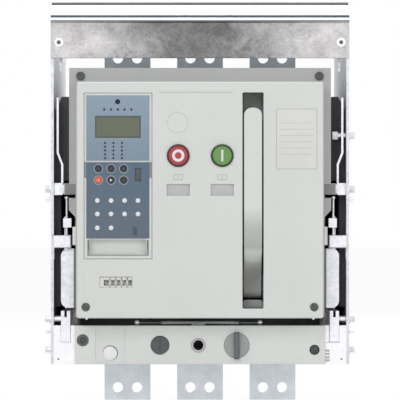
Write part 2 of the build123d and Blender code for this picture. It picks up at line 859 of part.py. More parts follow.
# Breaker frame: the darker rim behind the cover, with a skirt back to the case
ear_low = up(203.4)
ear_high = up(216.8)
wing_half = frame_half + slide_gap
wing_root = up(176.0)
wing_low = wing_root + 9.0
wing_high = wing_low + 14.4
skirt_wall = 2.6
top_screw_x = frame_half - 13.9
top_screw_z = frame_top - 10.0
bottom_screw_x = cover_half - 11.0
bottom_screw_z = cover_bottom + 13.2
top_screws = [(-top_screw_x, top_screw_z), (top_screw_x, top_screw_z)]
bottom_screws = [(-bottom_screw_x, bottom_screw_z), (bottom_screw_x, bottom_screw_z)]
cover_screw_r = 2.5
cover_head_r = 5.0
neck_gap_bottom = pivot_z - 13.0
neck_gap_top = up(142.0)
trip_mid_x = (trip_x0 + trip_x1) / 2
trip_mid_z = (trip_z0 + trip_z1) / 2
trip_width = trip_x1 - trip_x0
trip_height = trip_z1 - trip_z0
counter_width = 46.0
counter_height = 23.0
stem_hole_r = 8.0

rim_half = [
    (frame_lower_half, frame_bottom),
    (frame_lower_half, wing_root),
    (wing_half, wing_low),
    (wing_half, wing_high),
    (frame_lower_half, wing_high),
    (frame_lower_half, ear_low),
    (ear_half, ear_low),
    (ear_half, ear_high),
    (frame_half, ear_high),
    (frame_half, frame_top),
]
rim_outline = rim_half + [(-x, z) for x, z in reversed(rim_half)]

with BuildPart() as front_frame:
    with BuildSketch(facing(frame_front_y + frame_plate)):
        with BuildLine():
            Polyline(*rim_outline, close=True)
        make_face()
    extrude(amount=frame_plate)
    front_edges = front_frame.faces().sort_by(Axis.Y)[0].outer_wire().edges()
    fillet(front_edges.group_by(Axis.Z)[-1], radius=1.5)
    with BuildSketch(facing(case_front_y)):
        with Locations((0, (frame_top + frame_step) / 2)):
            Rectangle(2 * frame_half, frame_top - frame_step)
        with Locations((0, (frame_step + frame_bottom) / 2)):
            Rectangle(2 * frame_lower_half, frame_step - frame_bottom)
        with Locations((0, (frame_top + frame_bottom) / 2)):
            Rectangle(
                2 * (frame_lower_half - skirt_wall),
                frame_top - frame_bottom - 2 * skirt_wall,
                mode=Mode.SUBTRACT,
            )
        with Locations((0, (frame_top + frame_step) / 2)):
            Rectangle(
                2 * (frame_half - skirt_wall),
                frame_top - frame_step - 2 * skirt_wall,
                mode=Mode.SUBTRACT,
            )
    extrude(amount=case_front_y - frame_front_y - frame_plate)
    # openings for the trip unit, the counter, the buttons, the flags and the handle
    with BuildSketch(facing(frame_front_y + frame_plate)):
        with Locations((trip_mid_x, trip_mid_z)):
            Rectangle(trip_width + 2 * slide_gap, trip_height + 2 * slide_gap)
        with Locations((counter_x, counter_z)):
            Rectangle(counter_width + 1, counter_height + 1)
        with Locations((off_x, button_z), (on_x, button_z)):
            Circle(stem_hole_r)
        with Locations((handle_x, (neck_gap_top + neck_gap_bottom) / 2)):
            Rectangle(handle_slot_width, neck_gap_top - neck_gap_bottom)
        with Locations(*top_screws, *bottom_screws):
            Circle(cover_screw_r + hole_gap)
    extrude(amount=frame_plate, mode=Mode.SUBTRACT)
save(front_frame, "front_frame")

# Front cover: a moulded shell, open at the back
cover_edge = 1.4
cap_x = across(-26.5)
cap_z = up(288.3)
cap_r = 12.6
cap_groove = 0.8
post_seat_depth = 3.2
guide_rib = 2.0
flag_guide_reach = 5.5
flag_lap = 4.0
flag_guide_height = 46.0
flag_guide_drop = 7.0
counter_open_width = 38.6
counter_open_height = 12.9

with BuildPart() as front_cover:
    with BuildSketch(facing(frame_front_y)):
        with Locations((0, (cover_top + cover_bottom) / 2)):
            RectangleRounded(2 * cover_half, cover_height, cover_wall)
    extrude(amount=frame_front_y - cover_front_y)
    chamfer(front_cover.faces().sort_by(Axis.Y)[0].edges(), length=cover_edge)
    with BuildSketch(facing(frame_front_y)):
        with Locations((0, (cover_top + cover_bottom) / 2)):
            Rectangle(2 * (cover_half - cover_wall), cover_height - 2 * cover_wall)
    extrude(amount=frame_front_y - cover_front_y - cover_wall, mode=Mode.SUBTRACT)
    # posts for the lower cover screws
    with BuildSketch(facing(frame_front_y)):
        with Locations(*bottom_screws):
            Circle(cover_head_r + 2.0)
    extrude(amount=frame_front_y - cover_front_y - 0.5)
    # guide ribs beside the two flags
    with BuildSketch(facing(cover_front_y + cover_wall + flag_guide_reach)):
        for window_centre in (off_x, on_x):
            with Locations((window_centre, window_z - flag_guide_drop)):
                with GridLocations(window_width + flag_lap + guide_rib + 2 * slide_gap, 1, 2, 1):
                    Rectangle(guide_rib, flag_guide_height)
    extrude(amount=flag_guide_reach)
    with BuildSketch(facing(frame_front_y)):
        with Locations((trip_mid_x, trip_mid_z)):
            Rectangle(trip_width + 2 * slide_gap, trip_height + 2 * slide_gap)
        with Locations((off_x, button_z), (on_x, button_z)):
            Circle(button_r + slide_gap)
        with Locations((off_x, window_z), (on_x, window_z)):
            Rectangle(window_width, window_height)
        with Locations((handle_x, (handle_slot_top + handle_slot_bottom) / 2)):
            RectangleRounded(handle_slot_width, handle_slot_top - handle_slot_bottom, 1.5)
        with Locations((counter_x, counter_z)):
            Rectangle(counter_open_width, counter_open_height)
        with Locations(*bottom_screws):
            Circle(cover_screw_r + hole_gap)
    extrude(amount=frame_front_y - cover_front_y, mode=Mode.SUBTRACT)
    # counterbores of the lower screws and the ring of the blanked lock place
    with BuildSketch(facing(cover_front_y)):
        with Locations(*bottom_screws):
            Circle(cover_head_r + slide_gap)
    extrude(amount=-post_seat_depth, mode=Mode.SUBTRACT)
    with BuildSketch(facing(cover_front_y)):
        with Locations((cap_x, cap_z)):
            Circle(cap_r)
            Circle(cap_r - cap_groove, mode=Mode.SUBTRACT)
    extrude(amount=-cap_groove, mode=Mode.SUBTRACT)
save(front_cover, "front_cover")

# Moulded case: three contact chambers open at the top, ears for the handle at the front
chamber_front_y = case_front_y + 43.0
chamber_rear_y = case_rear_y - 9.0
chamber_mid_y = (chamber_front_y + chamber_rear_y) / 2
chamber_low = lower_level - 25.0
ledge_z = upper_level + terminal_thick / 2 + slide_gap
chute_half = 38.0
chute_rear_y = chamber_rear_y
chute_front_y = chute_rear_y - 86.0
chute_mid_y = (chute_front_y + chute_rear_y) / 2
case_slope_y = 6.0
case_slope_z = 22.0
top_pocket_pitch = 32.0
top_pocket_width = 22.0
top_pocket_length = 90.0
top_pocket_depth = 4.0
bore_wall = 10.0
shaft_y = chamber_front_y + 27.0
shaft_z = lower_level + 40.0
shaft_r = 10.0
arm_pivot_y = chamber_rear_y - 56.0
arm_pivot_z = lower_level + 16.0
arm_pivot_r = 5.0
bar_rear_y = stub_front_y - 2.0
ear_thick = 5.5
ear_r = 11.0
ear_gap = 1.0
ear_xs = (handle_x - handle_width / 2 - ear_gap - ear_thick, handle_x + handle_width / 2 + ear_gap)

with BuildPart() as breaker_case:
    with BuildSketch(Plane.YZ.offset(-case_half)):
        with BuildLine():
            Polyline(
                (case_front_y, case_bottom),
                (case_rear_y, case_bottom),
                (case_rear_y, case_top - case_slope_z),
                (case_rear_y - case_slope_y, case_top),
                (case_front_y, case_top),
                close=True,
            )
        make_face()
    extrude(amount=2 * case_half)
    with BuildSketch(Plane.XY.offset(chamber_low)):
        with Locations(*[(x, chamber_mid_y) for x in poles]):
            Rectangle(2 * chamber_half, chamber_rear_y - chamber_front_y)
    extrude(amount=ledge_z - chamber_low, mode=Mode.SUBTRACT)
    with BuildSketch(Plane.XY.offset(ledge_z)):
        with Locations(*[(x, chute_mid_y) for x in poles]):
            Rectangle(2 * (chute_half + slide_gap), chute_rear_y - chute_front_y + 2 * slide_gap)
    extrude(amount=case_top - ledge_z, mode=Mode.SUBTRACT)
    # slots in the rear wall for the contact bars
    with BuildSketch(facing(case_rear_y)):
        with Locations(*stub_spots):
            Rectangle(terminal_width + 2 * hole_gap, terminal_thick + 2 * hole_gap)
    extrude(amount=case_rear_y - chamber_rear_y + 1, mode=Mode.SUBTRACT)
    # shallow pockets that leave ribs along the front part of the top
    with BuildSketch(Plane.XY.offset(case_top)):
        with Locations((0, (case_front_y + chute_front_y) / 2)):
            with GridLocations(top_pocket_pitch, 1, 9, 1):
                Rectangle(top_pocket_width, top_pocket_length)
    extrude(amount=-top_pocket_depth, mode=Mode.SUBTRACT)
    # bores of the main shaft and of the contact arms
    with BuildSketch(Plane.YZ.offset(bore_wall - case_half)):
        with Locations((shaft_y, shaft_z)):
            Circle(shaft_r + running_gap)
        with Locations((arm_pivot_y, arm_pivot_z)):
            Circle(arm_pivot_r + running_gap)
    extrude(amount=2 * (case_half - bore_wall), mode=Mode.SUBTRACT)
    # ears for the handle's pin
    for ear_x in ear_xs:
        with BuildSketch(Plane.YZ.offset(ear_x)):
            with BuildLine():
                Line((case_front_y + 1, pivot_z - ear_r), (pivot_y, pivot_z - ear_r))
                ThreePointArc(
                    (pivot_y, pivot_z - ear_r),
                    (pivot_y - ear_r, pivot_z),
                    (pivot_y, pivot_z + ear_r),
                )
                Line((pivot_y, pivot_z + ear_r), (case_front_y + 1, pivot_z + ear_r + 6))
                Line((case_front_y + 1, pivot_z + ear_r + 6), (case_front_y + 1, pivot_z - ear_r))
            make_face()
            with Locations((pivot_y, pivot_z)):
                Circle(pivot_r + running_gap / 2, mode=Mode.SUBTRACT)
        extrude(amount=ear_thick)
save(breaker_case, "breaker_case")

# Arc chutes: a box with splitter plates inside and slots across the top
chute_top = case_top + 12.0
chute_wall = 3.0
chute_edge = 2.0
splitter_count = 7
splitter_pitch = 9.5
splitter_thick = 2.0
splitter_low = ledge_z + 26.0
splitter_high = chute_top - chute_wall - 8.0
vent_length = 58.0
vent_width = 4.5

with BuildPart() as chute:
    with BuildSketch(Plane.XY.offset(ledge_z)):
        with Locations((0, chute_mid_y)):
            Rectangle(2 * chute_half, chute_rear_y - chute_front_y)
    extrude(amount=chute_top - ledge_z)
    chamfer(chute.faces().sort_by(Axis.Z)[-1].edges(), length=chute_edge)
    with BuildSketch(Plane.XY.offset(ledge_z)):
        with Locations((0, chute_mid_y)):
            Rectangle(2 * (chute_half - chute_wall), chute_rear_y - chute_front_y - 2 * chute_wall)
    extrude(amount=chute_top - ledge_z - chute_wall, mode=Mode.SUBTRACT)
    with BuildSketch(Plane.XY.offset(splitter_low)):
        with Locations((0, chute_mid_y)):
            with GridLocations(1, splitter_pitch, 1, splitter_count):
                Rectangle(2 * chute_half - chute_wall, splitter_thick)
    extrude(amount=splitter_high - splitter_low)
    with BuildSketch(Plane.XY.offset(chute_top)):
        with Locations((0, chute_mid_y)):
            with GridLocations(1, splitter_pitch, 1, splitter_count + 1):
                Rectangle(vent_length, vent_width)
    extrude(amount=-2 * chute_wall, mode=Mode.SUBTRACT)

for pole_x, pole_name in zip(poles, pole_names):
    with BuildPart() as arc_chute:
        add(chute.part.moved(Location((pole_x, 0, 0))))
    save(arc_chute, f"arc_chute_{pole_name}")

# Disconnecting clusters: two rows of fingers in a cage, gripping the bar and the stub
cluster_front_y = case_rear_y + 1.5
finger_rear_y = rear_y - 28.0
finger_width = 7.6
finger_pitch = 9.8
finger_count = 6
cage_depth = 9.0
finger_gap_z = terminal_thick / 2 + slide_gap

with BuildPart() as cluster:
    with BuildSketch(facing(finger_rear_y)):
        for way in (-1, 1):
            with Locations((0, way * (finger_gap_z + finger_thick / 2))):
                with GridLocations(finger_pitch, 1, finger_count, 1):
                    Rectangle(finger_width, finger_thick)
    extrude(amount=finger_rear_y - cluster_front_y)
    with BuildSketch(facing(cluster_front_y + cage_depth)):
        Rectangle(2 * cage_half, 2 * (finger_gap_z + finger_thick + cage_wall))
        Rectangle(terminal_width + 2 * slide_gap, 2 * finger_gap_z, mode=Mode.SUBTRACT)
    extrude(amount=cage_depth)
with BuildPart() as disconnect_clusters:
    for spot_x, spot_z in stub_spots:
        add(cluster.part.moved(Location((spot_x, 0, spot_z))))
save(disconnect_clusters, "disconnect_clusters")

# Fixed contacts: bars through the rear wall with a contact pad and an arc horn
pad_front_y = chamber_rear_y - 22.0
pad_low = upper_level - 38.0
pad_thick = 9.0
pad_slope = 4.0

with BuildPart() as fixed_contacts:
    for pole_x in poles:
        with BuildSketch(Plane.YZ.offset(pole_x - terminal_width / 2)):
            with BuildLine():
                Polyline(
                    (pad_front_y, pad_low),
                    (pad_front_y + pad_thick, pad_low),
                    (pad_front_y + pad_thick, upper_level - terminal_thick / 2),
                    (bar_rear_y, upper_level - terminal_thick / 2),
                    (bar_rear_y, upper_level + terminal_thick / 2),
                    (pad_front_y + pad_slope, upper_level + terminal_thick / 2),
                    (pad_front_y, upper_level + terminal_thick / 2 - pad_slope),
                    close=True,
                )
            make_face()
        extrude(amount=terminal_width)
save(fixed_contacts, "fixed_contacts")

# Lower contact bars: flat bars that end under the contact arms
lower_bar_front_y = arm_pivot_y - 10.0

with BuildPart() as lower_contact_bars:
    for pole_x in poles:
        with BuildSketch(Plane.YZ.offset(pole_x - terminal_width / 2)):
            with Locations(((bar_rear_y + lower_bar_front_y) / 2, lower_level)):
                Rectangle(bar_rear_y - lower_bar_front_y, terminal_thick)
        extrude(amount=terminal_width)
save(lower_contact_bars, "lower_contact_bars")

# Support plates: steel cheeks of the breaker with the feet that ride on the extension rails
foot_outer = guide_centre - rail_sheet / 2 - 1.4
foot_half_length = 82.0
foot_sheet = 2.5
foot_z = shelf_z + shelf_sheet + slide_gap
cheek_front_y = case_front_y + skirt_clear
cheek_rear_y = case_rear_y - 5.0
cheek_top = lower_level + 92.0
cheek_corner_y = 50.0
cheek_corner_z = 60.0
cheek_window_z = lower_level + 55.0
cheek_window_length = 70.0
cheek_window_height = 26.0
bracket_low = base_height + 0.4
bracket_outer = case_half + 5.7
bracket_lap = 2.0
bracket_thick = 3.0

with BuildPart() as cheek_right:
    with BuildSketch(Plane.YZ.offset(case_half)):
        with BuildLine():
            Polyline(
                (cheek_front_y, case_bottom),
                (cheek_rear_y, case_bottom),
                (cheek_rear_y, cheek_top - cheek_corner_z),
                (cheek_rear_y - cheek_corner_y, cheek_top),
                (cheek_front_y, cheek_top),
                close=True,
            )
        make_face()
        with Locations(((cheek_front_y + cheek_rear_y) / 2, cheek_window_z)):
            SlotOverall(cheek_window_length, cheek_window_height, mode=Mode.SUBTRACT)
    extrude(amount=support_sheet)
    # lower front bracket
    with BuildSketch(facing(cheek_front_y + bracket_thick)):
        with Locations(((case_half + bracket_outer) / 2, (bracket_low + case_bottom + bracket_lap) / 2)):
            Rectangle(bracket_outer - case_half, case_bottom + bracket_lap - bracket_low)
    extrude(amount=bracket_thick)
    # foot over the shelf of the rail
    with BuildSketch(Plane.XY.offset(foot_z)):
        with Locations(((case_half + support_sheet + foot_outer) / 2, 0)):
            Rectangle(foot_outer - case_half - support_sheet, 2 * foot_half_length)
    extrude(amount=foot_sheet)
with BuildPart() as support_plates:
    add(cheek_right.part)
    mirror(cheek_right.part, about=Plane.YZ)
save(support_plates, "support_plates")

# Trip unit case: a recess for the face plate, a finger recess below it
face_x0 = across(-134.4)
face_x1 = across(-59.9)
face_z0 = up(151.4)
face_z1 = up(320.6)
face_mid = ((face_x0 + face_x1) / 2, (face_z0 + face_z1) / 2)
face_width = face_x1 - face_x0
face_height = face_z1 - face_z0
face_sunk = 0.2
display_mid = (across(-97.1), up(283.5))
display_width = across(54.0)
display_height = 26.1
key_xs = [across(x) for x in (-120.2, -105.1, -90.2)]
key_zs = [up(z) for z in (234.1, 220.5)]
key_spots = [(x, z) for z in key_zs for x in key_xs]
key_r = 4.2
key_flange_r = 4.9
key_proud = 1.0
key_edge = 0.4
key_flange_thick = 1.2
key_travel = 1.5
port_mid = (across(-73.3), up(227.0))
port_width = 7.3
port_height = 15.7
sensor_spot = (across(-97.4), up(313.3))
sensor_r = 3.0
pocket_depth = 4.0
recess_mid = (across(-97.2), up(141.3))
recess_width = across(67.5)
recess_height = 18.5
recess_depth = 12.0

with BuildPart() as trip_unit:
    with BuildSketch(facing(trip_rear_y)):
        with Locations((trip_mid_x, trip_mid_z)):
            Rectangle(trip_width, trip_height)
    extrude(amount=trip_rear_y - trip_front_y)
    chamfer(trip_unit.faces().sort_by(Axis.Y)[0].edges(), length=0.6)
    with BuildSketch(facing(trip_front_y)):
        with Locations(face_mid):
            Rectangle(face_width + 2 * hole_gap, face_height + 2 * hole_gap)
    extrude(amount=-face_thick, mode=Mode.SUBTRACT)
    with BuildSketch(facing(trip_front_y + face_thick)):
        with Locations(*key_spots):
            Circle(key_flange_r + slide_gap)
        with Locations(port_mid):
            Rectangle(port_width, port_height)
        with Locations(sensor_spot):
            Circle(sensor_r)
    extrude(amount=-pocket_depth, mode=Mode.SUBTRACT)
    with BuildSketch(facing(trip_front_y)):
        with Locations(recess_mid):
            Rectangle(recess_width, recess_height)
    extrude(amount=-recess_depth, taper=8, mode=Mode.SUBTRACT)
save(trip_unit, "trip_unit")

# Face plate of the trip unit
with BuildPart() as trip_unit_face:
    with BuildSketch(facing(trip_front_y + face_thick)):
        with Locations(face_mid):
            Rectangle(face_width, face_height)
        with Locations(display_mid):
            Rectangle(display_width + hole_gap, display_height + hole_gap, mode=Mode.SUBTRACT)
        with Locations(*key_spots):
            Circle(key_r + slide_gap, mode=Mode.SUBTRACT)
        with Locations(port_mid):
            Rectangle(port_width, port_height, mode=Mode.SUBTRACT)
        with Locations(sensor_spot):
            Circle(sensor_r, mode=Mode.SUBTRACT)
    extrude(amount=face_thick - face_sunk)
save(trip_unit_face, "trip_unit_face")

# Display window in the face plate
with BuildPart() as display_window:
    with BuildSketch(facing(trip_front_y + face_thick)):
        with Locations(display_mid):
            Rectangle(display_width, display_height)
    extrude(amount=face_thick - 0.5)
save(display_window, "display_window")

# Six keys: a round cap with a flange behind the face plate
for number, (key_x, key_z) in enumerate(key_spots, start=1):
    with BuildPart() as key:
        with BuildSketch(facing(trip_front_y + face_thick + key_travel)):
            with Locations((key_x, key_z)):
                Circle(key_r)
        extrude(amount=face_thick + key_travel + key_proud)
        chamfer(key.faces().sort_by(Axis.Y)[0].edges(), length=key_edge)
        with BuildSketch(facing(trip_front_y + face_thick + key_travel)):
            with Locations((key_x, key_z)):
                Circle(key_flange_r)
        extrude(amount=key_flange_thick)
    save(key, f"key_{number}")

# O and I buttons: a cap in the cover, a flange behind it and a stem
button_proud = 3.0
button_edge = 0.9
dish_r = button_r - 2.2
dish_depth = 0.8
flange_r = 15.0
flange_thick = 2.5
flange_front_y = cover_front_y + cover_wall + slide_gap
stem_r = 5.0
stem_rear_y = front_y + 15.0


def push_button(x):
    """Round cap with a shallow dish, on a flanged stem."""
    with BuildPart() as button:
        with BuildSketch(facing(flange_front_y)):
            with Locations((x, button_z)):
                Circle(button_r)
        extrude(amount=flange_front_y - cover_front_y + button_proud)
        chamfer(button.faces().sort_by(Axis.Y)[0].edges(), length=button_edge)
        with BuildSketch(facing(cover_front_y - button_proud)):
            with Locations((x, button_z)):
                Circle(dish_r)
        extrude(amount=-dish_depth, mode=Mode.SUBTRACT)
        with BuildSketch(facing(flange_front_y + flange_thick)):
            with Locations((x, button_z)):
                Circle(flange_r)
        extrude(amount=flange_thick)
        with BuildSketch(facing(stem_rear_y)):
            with Locations((x, button_z)):
                Circle(stem_r)
        extrude(amount=stem_rear_y - flange_front_y - flange_thick)
    return button


save(push_button(off_x), "off_button")
save(push_button(on_x), "on_button")

# Charging handle: a moulded lever that is hollow behind, curved in to its hub
lever_thick = 20.0
hub_r = 10.0
lever_front = cover_front_y - pivot_y
lever_back = lever_front + lever_thick
lever_end = handle_top - pivot_z
knee_z = 58.0
lever_wall = 2.8
hollow_low = 72.0
hollow_high = lever_end - lever_wall - 4.0
lever_corner = 9.0
handle_side = handle_x - handle_width / 2


def beside(x):
    """Plane across the handle's pin at x, its origin on the pin's axis."""
    return Plane(origin=(x, pivot_y, pivot_z), x_dir=(0, 1, 0), z_dir=(1, 0, 0))


with BuildPart() as charging_handle:
    with BuildSketch(beside(handle_side)):
        with BuildLine():
            Line((lever_front, lever_end), (lever_front, knee_z))
            Spline(
                (lever_front, knee_z),
                (lever_front + 11.5, 35.0),
                (-hub_r, 0),
                tangents=[(0, -1), (0.15, -1)],
            )
            ThreePointArc((-hub_r, 0), (0, -hub_r), (hub_r, 0))
            Spline((hub_r, 0), (-14.0, 40.0), (lever_back, knee_z + 8), tangents=[(0, 1), (0, 1)])
            Line((lever_back, knee_z + 8), (lever_back, lever_end))
            Line((lever_back, lever_end), (lever_front, lever_end))
        make_face()
        Circle(pivot_r + running_gap, mode=Mode.SUBTRACT)
    extrude(amount=handle_width)
    with BuildSketch(beside(handle_side + lever_wall)):
        with Locations(((lever_front + lever_wall + lever_back + 1) / 2, (hollow_low + hollow_high) / 2)):
            Rectangle(lever_thick - lever_wall + 1, hollow_high - hollow_low)
    extrude(amount=handle_width - 2 * lever_wall, mode=Mode.SUBTRACT)
    top_corners = charging_handle.edges().filter_by(Axis.Y).group_by(Axis.Z)[-1]
    fillet(top_corners.group_by(Axis.X)[0] + top_corners.group_by(Axis.X)[-1], radius=lever_corner)
save(charging_handle, "charging_handle")

# Handle pin through the ears of the case
pin_proud = 1.5
pin_length = ear_xs[1] - ear_xs[0] + ear_thick + 2 * pin_proud

with BuildPart() as handle_pin:
    with BuildSketch(beside(ear_xs[0] - pin_proud)):
        Circle(pivot_r)
    extrude(amount=pin_length)
save(handle_pin, "handle_pin")

# Cover screws: pan heads with a slot
slot_width = 1.4
slot_depth = 1.2
slot_turn = 35.0
cover_head_height = 2.6

with BuildPart() as cover_screws:
    for screw_spots, seat_y in (
        (top_screws, frame_front_y),
        (bottom_screws, cover_front_y + post_seat_depth),
    ):
        with BuildSketch(facing(seat_y)):
            with Locations(*screw_spots):
                Circle(cover_head_r)
        extrude(amount=cover_head_height)
        with BuildSketch(facing(seat_y - cover_head_height)):
            with Locations(*screw_spots):
                Rectangle(slot_width, 2 * cover_head_r, rotation=slot_turn)
        extrude(amount=-slot_depth, mode=Mode.SUBTRACT)
        with BuildSketch(facing(seat_y)):
            with Locations(*screw_spots):
                Circle(cover_screw_r)
        extrude(amount=-(frame_plate + (frame_front_y - seat_y)))
save(cover_screws, "cover_screws")

# Counter: a box behind its window with five wheels on an axle
wheel_pitch = 6.8
wheel_width = 6.2
wheel_r = 8.0
wheel_y = cover_front_y + 14.0
axle_r = 1.5
first_wheel_x = counter_x - 10.5
counter_rear_y = cover_front_y + 27.0
counter_front_y = cover_front_y + cover_wall
counter_inside_depth = 21.0
counter_inside_width = counter_open_width + 2.8
counter_inside_height = 18.4

with BuildPart() as counter_case:
    with BuildSketch(facing(counter_rear_y)):
        with Locations((counter_x, counter_z)):
            Rectangle(counter_width, counter_height)
    extrude(amount=counter_rear_y - counter_front_y)
    with BuildSketch(facing(counter_front_y)):
        with Locations((counter_x, counter_z)):
            Rectangle(counter_inside_width, counter_inside_height)
    extrude(amount=-counter_inside_depth, mode=Mode.SUBTRACT)
    with BuildSketch(Plane.YZ.offset(counter_x - counter_inside_width / 2 - axle_r)):
        with Locations((wheel_y, counter_z)):
            Circle(axle_r)
    extrude(amount=counter_inside_width + 2 * axle_r)
save(counter_case, "counter_case")

wheel_xs = [first_wheel_x + step * wheel_pitch for step in range(5)]


def counter_wheel(x):
    """One digit wheel on the axle."""
    with BuildPart() as wheel:
        with BuildSketch(Plane.YZ.offset(x - wheel_width / 2)):
            with Locations((wheel_y, counter_z)):
                Circle(wheel_r)
                Circle(axle_r + running_gap, mode=Mode.SUBTRACT)
        extrude(amount=wheel_width)
    return wheel


wheels = [counter_wheel(wheel_x) for wheel_x in wheel_xs]
with BuildPart() as counter_wheels:
    for wheel in wheels[:-1]:
        add(wheel.part)
save(counter_wheels, "counter_wheels")
save(wheels[-1], "counter_units_wheel")

# Flags behind the two windows: plates that slide up and down between ribs
flag_width = window_width + flag_lap
flag_low = window_z - 23.0
flag_high = window_z + 8.0
flag_thick = 2.0
flag_y = cover_front_y + cover_wall + slide_gap + flag_thick
tongue_width = 8.0
tongue_thick = 3.0
tongue_reach = 10.0


def flag(x):
    """Plate with a lifting tongue at its lower end."""
    with BuildPart() as plate:
        with BuildSketch(facing(flag_y)):
            with Locations((x, (flag_low + flag_high) / 2)):
                Rectangle(flag_width, flag_high - flag_low)
        extrude(amount=flag_thick)
        with BuildSketch(facing(flag_y + tongue_reach)):
            with Locations((x, flag_low + tongue_thick)):
                Rectangle(tongue_width, tongue_thick)
        extrude(amount=tongue_reach)
    return plate


save(flag(on_x), "contact_flag")
save(flag(off_x), "charge_flag")

# Main shaft with a lever in each chamber
lever_reach = 35.0
lever_width = 14.0
lever_root = shaft_r + 3.0
lever_tip = 5.0
shaft_half = case_half - 12.0

with BuildPart() as main_shaft:
    with BuildSketch(Plane.YZ.offset(-shaft_half)):
        with Locations((shaft_y, shaft_z)):
            Circle(shaft_r)
    extrude(amount=2 * shaft_half)
    for pole_x in poles:
        with BuildSketch(Plane.YZ.offset(pole_x - lever_width / 2)):
            with Locations((shaft_y, shaft_z)):
                Circle(lever_root)
            with BuildLine():
                Polyline(
                    (shaft_y - lever_root, shaft_z),
                    (shaft_y - lever_tip, shaft_z + lever_reach),
                    (shaft_y + lever_tip, shaft_z + lever_reach),
                    (shaft_y + lever_root, shaft_z),
                    close=True,
                )
            make_face()
        extrude(amount=lever_width)
save(main_shaft, "main_shaft")

# Moving contacts: parallel arms in each chamber, turning on their own trunnions
arm_half = 27.0
arm_reach = upper_level - 10.0 - arm_pivot_z
arm_root = 8.0
arm_slit = 1.6
arm_slit_pitch = 9.0
arm_slit_low = 22.0
trunnion_half = chamber_half + 5.0

with BuildPart() as moving_contacts:
    for pole_x in poles:
        with BuildSketch(Plane.YZ.offset(pole_x - arm_half)):
            with BuildLine():
                Polyline(
                    (arm_pivot_y - arm_root, arm_pivot_z - arm_root),
                    (arm_pivot_y - arm_root, arm_pivot_z),
                    (arm_pivot_y - 4, arm_pivot_z + arm_reach - 14),
                    (arm_pivot_y - 1, arm_pivot_z + arm_reach - 3),
                    (arm_pivot_y + 4, arm_pivot_z + arm_reach),
                    (arm_pivot_y + 9, arm_pivot_z + arm_reach - 5),
                    (arm_pivot_y + 12, arm_pivot_z + arm_reach - 13),
                    (arm_pivot_y + arm_root, arm_pivot_z),
                    (arm_pivot_y + arm_root, arm_pivot_z - arm_root),
                    close=True,
                )
            make_face()
        extrude(amount=2 * arm_half)
        # slits between the parallel arms, above the hub
        with BuildSketch(facing(arm_pivot_y)):
            with Locations((pole_x, arm_pivot_z + (arm_slit_low + arm_reach) / 2 + 1)):
                with GridLocations(arm_slit_pitch, 1, 5, 1):
                    Rectangle(arm_slit, arm_reach - arm_slit_low + 2)
        extrude(amount=2 * arm_root, both=True, mode=Mode.SUBTRACT)
        with BuildSketch(Plane.YZ.offset(pole_x - trunnion_half)):
            with Locations((arm_pivot_y, arm_pivot_z)):
                Circle(arm_pivot_r)
        extrude(amount=2 * trunnion_half)
save(moving_contacts, "moving_contacts")
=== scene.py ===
import json
import math
import bmesh
import bpy
import numpy as np
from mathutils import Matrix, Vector


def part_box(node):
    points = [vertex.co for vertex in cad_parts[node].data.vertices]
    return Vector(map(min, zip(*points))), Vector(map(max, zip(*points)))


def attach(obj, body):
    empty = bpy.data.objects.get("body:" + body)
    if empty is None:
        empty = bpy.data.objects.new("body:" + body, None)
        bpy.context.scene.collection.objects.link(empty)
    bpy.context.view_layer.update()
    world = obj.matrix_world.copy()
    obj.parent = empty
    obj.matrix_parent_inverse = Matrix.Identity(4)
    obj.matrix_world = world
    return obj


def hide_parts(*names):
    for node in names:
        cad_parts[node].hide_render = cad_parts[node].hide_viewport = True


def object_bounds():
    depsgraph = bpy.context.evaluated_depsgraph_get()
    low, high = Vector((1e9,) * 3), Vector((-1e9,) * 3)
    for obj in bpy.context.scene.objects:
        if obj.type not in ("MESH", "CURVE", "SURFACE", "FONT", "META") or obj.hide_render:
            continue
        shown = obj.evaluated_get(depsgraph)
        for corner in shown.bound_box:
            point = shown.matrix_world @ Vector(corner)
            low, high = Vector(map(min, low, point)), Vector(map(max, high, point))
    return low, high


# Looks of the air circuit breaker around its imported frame.
# +X is to the right seen from the front, the front faces -Y, +Z is up.
# Sizes are millimetres until a mesh is made, then everything is metres.

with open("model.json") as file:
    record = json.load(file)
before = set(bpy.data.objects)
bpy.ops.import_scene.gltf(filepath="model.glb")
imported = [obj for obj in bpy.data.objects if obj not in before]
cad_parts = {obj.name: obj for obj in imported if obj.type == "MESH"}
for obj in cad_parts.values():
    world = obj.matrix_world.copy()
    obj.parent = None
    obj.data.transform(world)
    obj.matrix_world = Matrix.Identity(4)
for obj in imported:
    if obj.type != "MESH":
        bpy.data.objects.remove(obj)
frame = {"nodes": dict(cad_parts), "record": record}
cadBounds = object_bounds()
mm = 0.001
nodes = frame["nodes"]
groups = frame["record"]["behaviour"]["bodies"]
bodyOf = {node: body for body, group in groups.items() for node in group}
slotOf = {row["node"]: row["material_slot"] for row in frame["record"]["subparts"]}
print("frame loaded,", len(nodes), "nodes")


def boxOf(node):
    # lowest and highest corner of a CAD node
    low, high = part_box(node)
    return np.array(low) / mm, np.array(high) / mm


def seatOf(node):
    # body and material slot of a CAD node, for a piece that belongs to it
    return bodyOf[node], slotOf[node]


# Materials

def linear(hexColour):
    # sRGB to linear: c / 12.92 when dark, otherwise ((c + 0.055) / 1.055) to the power 2.4
    channels = [int(hexColour[i:i + 2], 16) / 255 for i in (1, 3, 5)]
    return [c / 12.92 if c <= 0.04045 else ((c + 0.055) / 1.055) ** 2.4 for c in channels] + [1.0]


def addNode(tree, kind, inputs=None, **settings):
    # one node with its settings; an input is a plain value, or a socket that gets linked
    node = tree.nodes.new(kind)
    for key, value in settings.items():
        setattr(node, key, value)
    for key, value in (inputs or {}).items():
        if isinstance(value, bpy.types.NodeSocket):
            tree.links.new(value, node.inputs[key])
        else:
            node.inputs[key].default_value = value
    return node


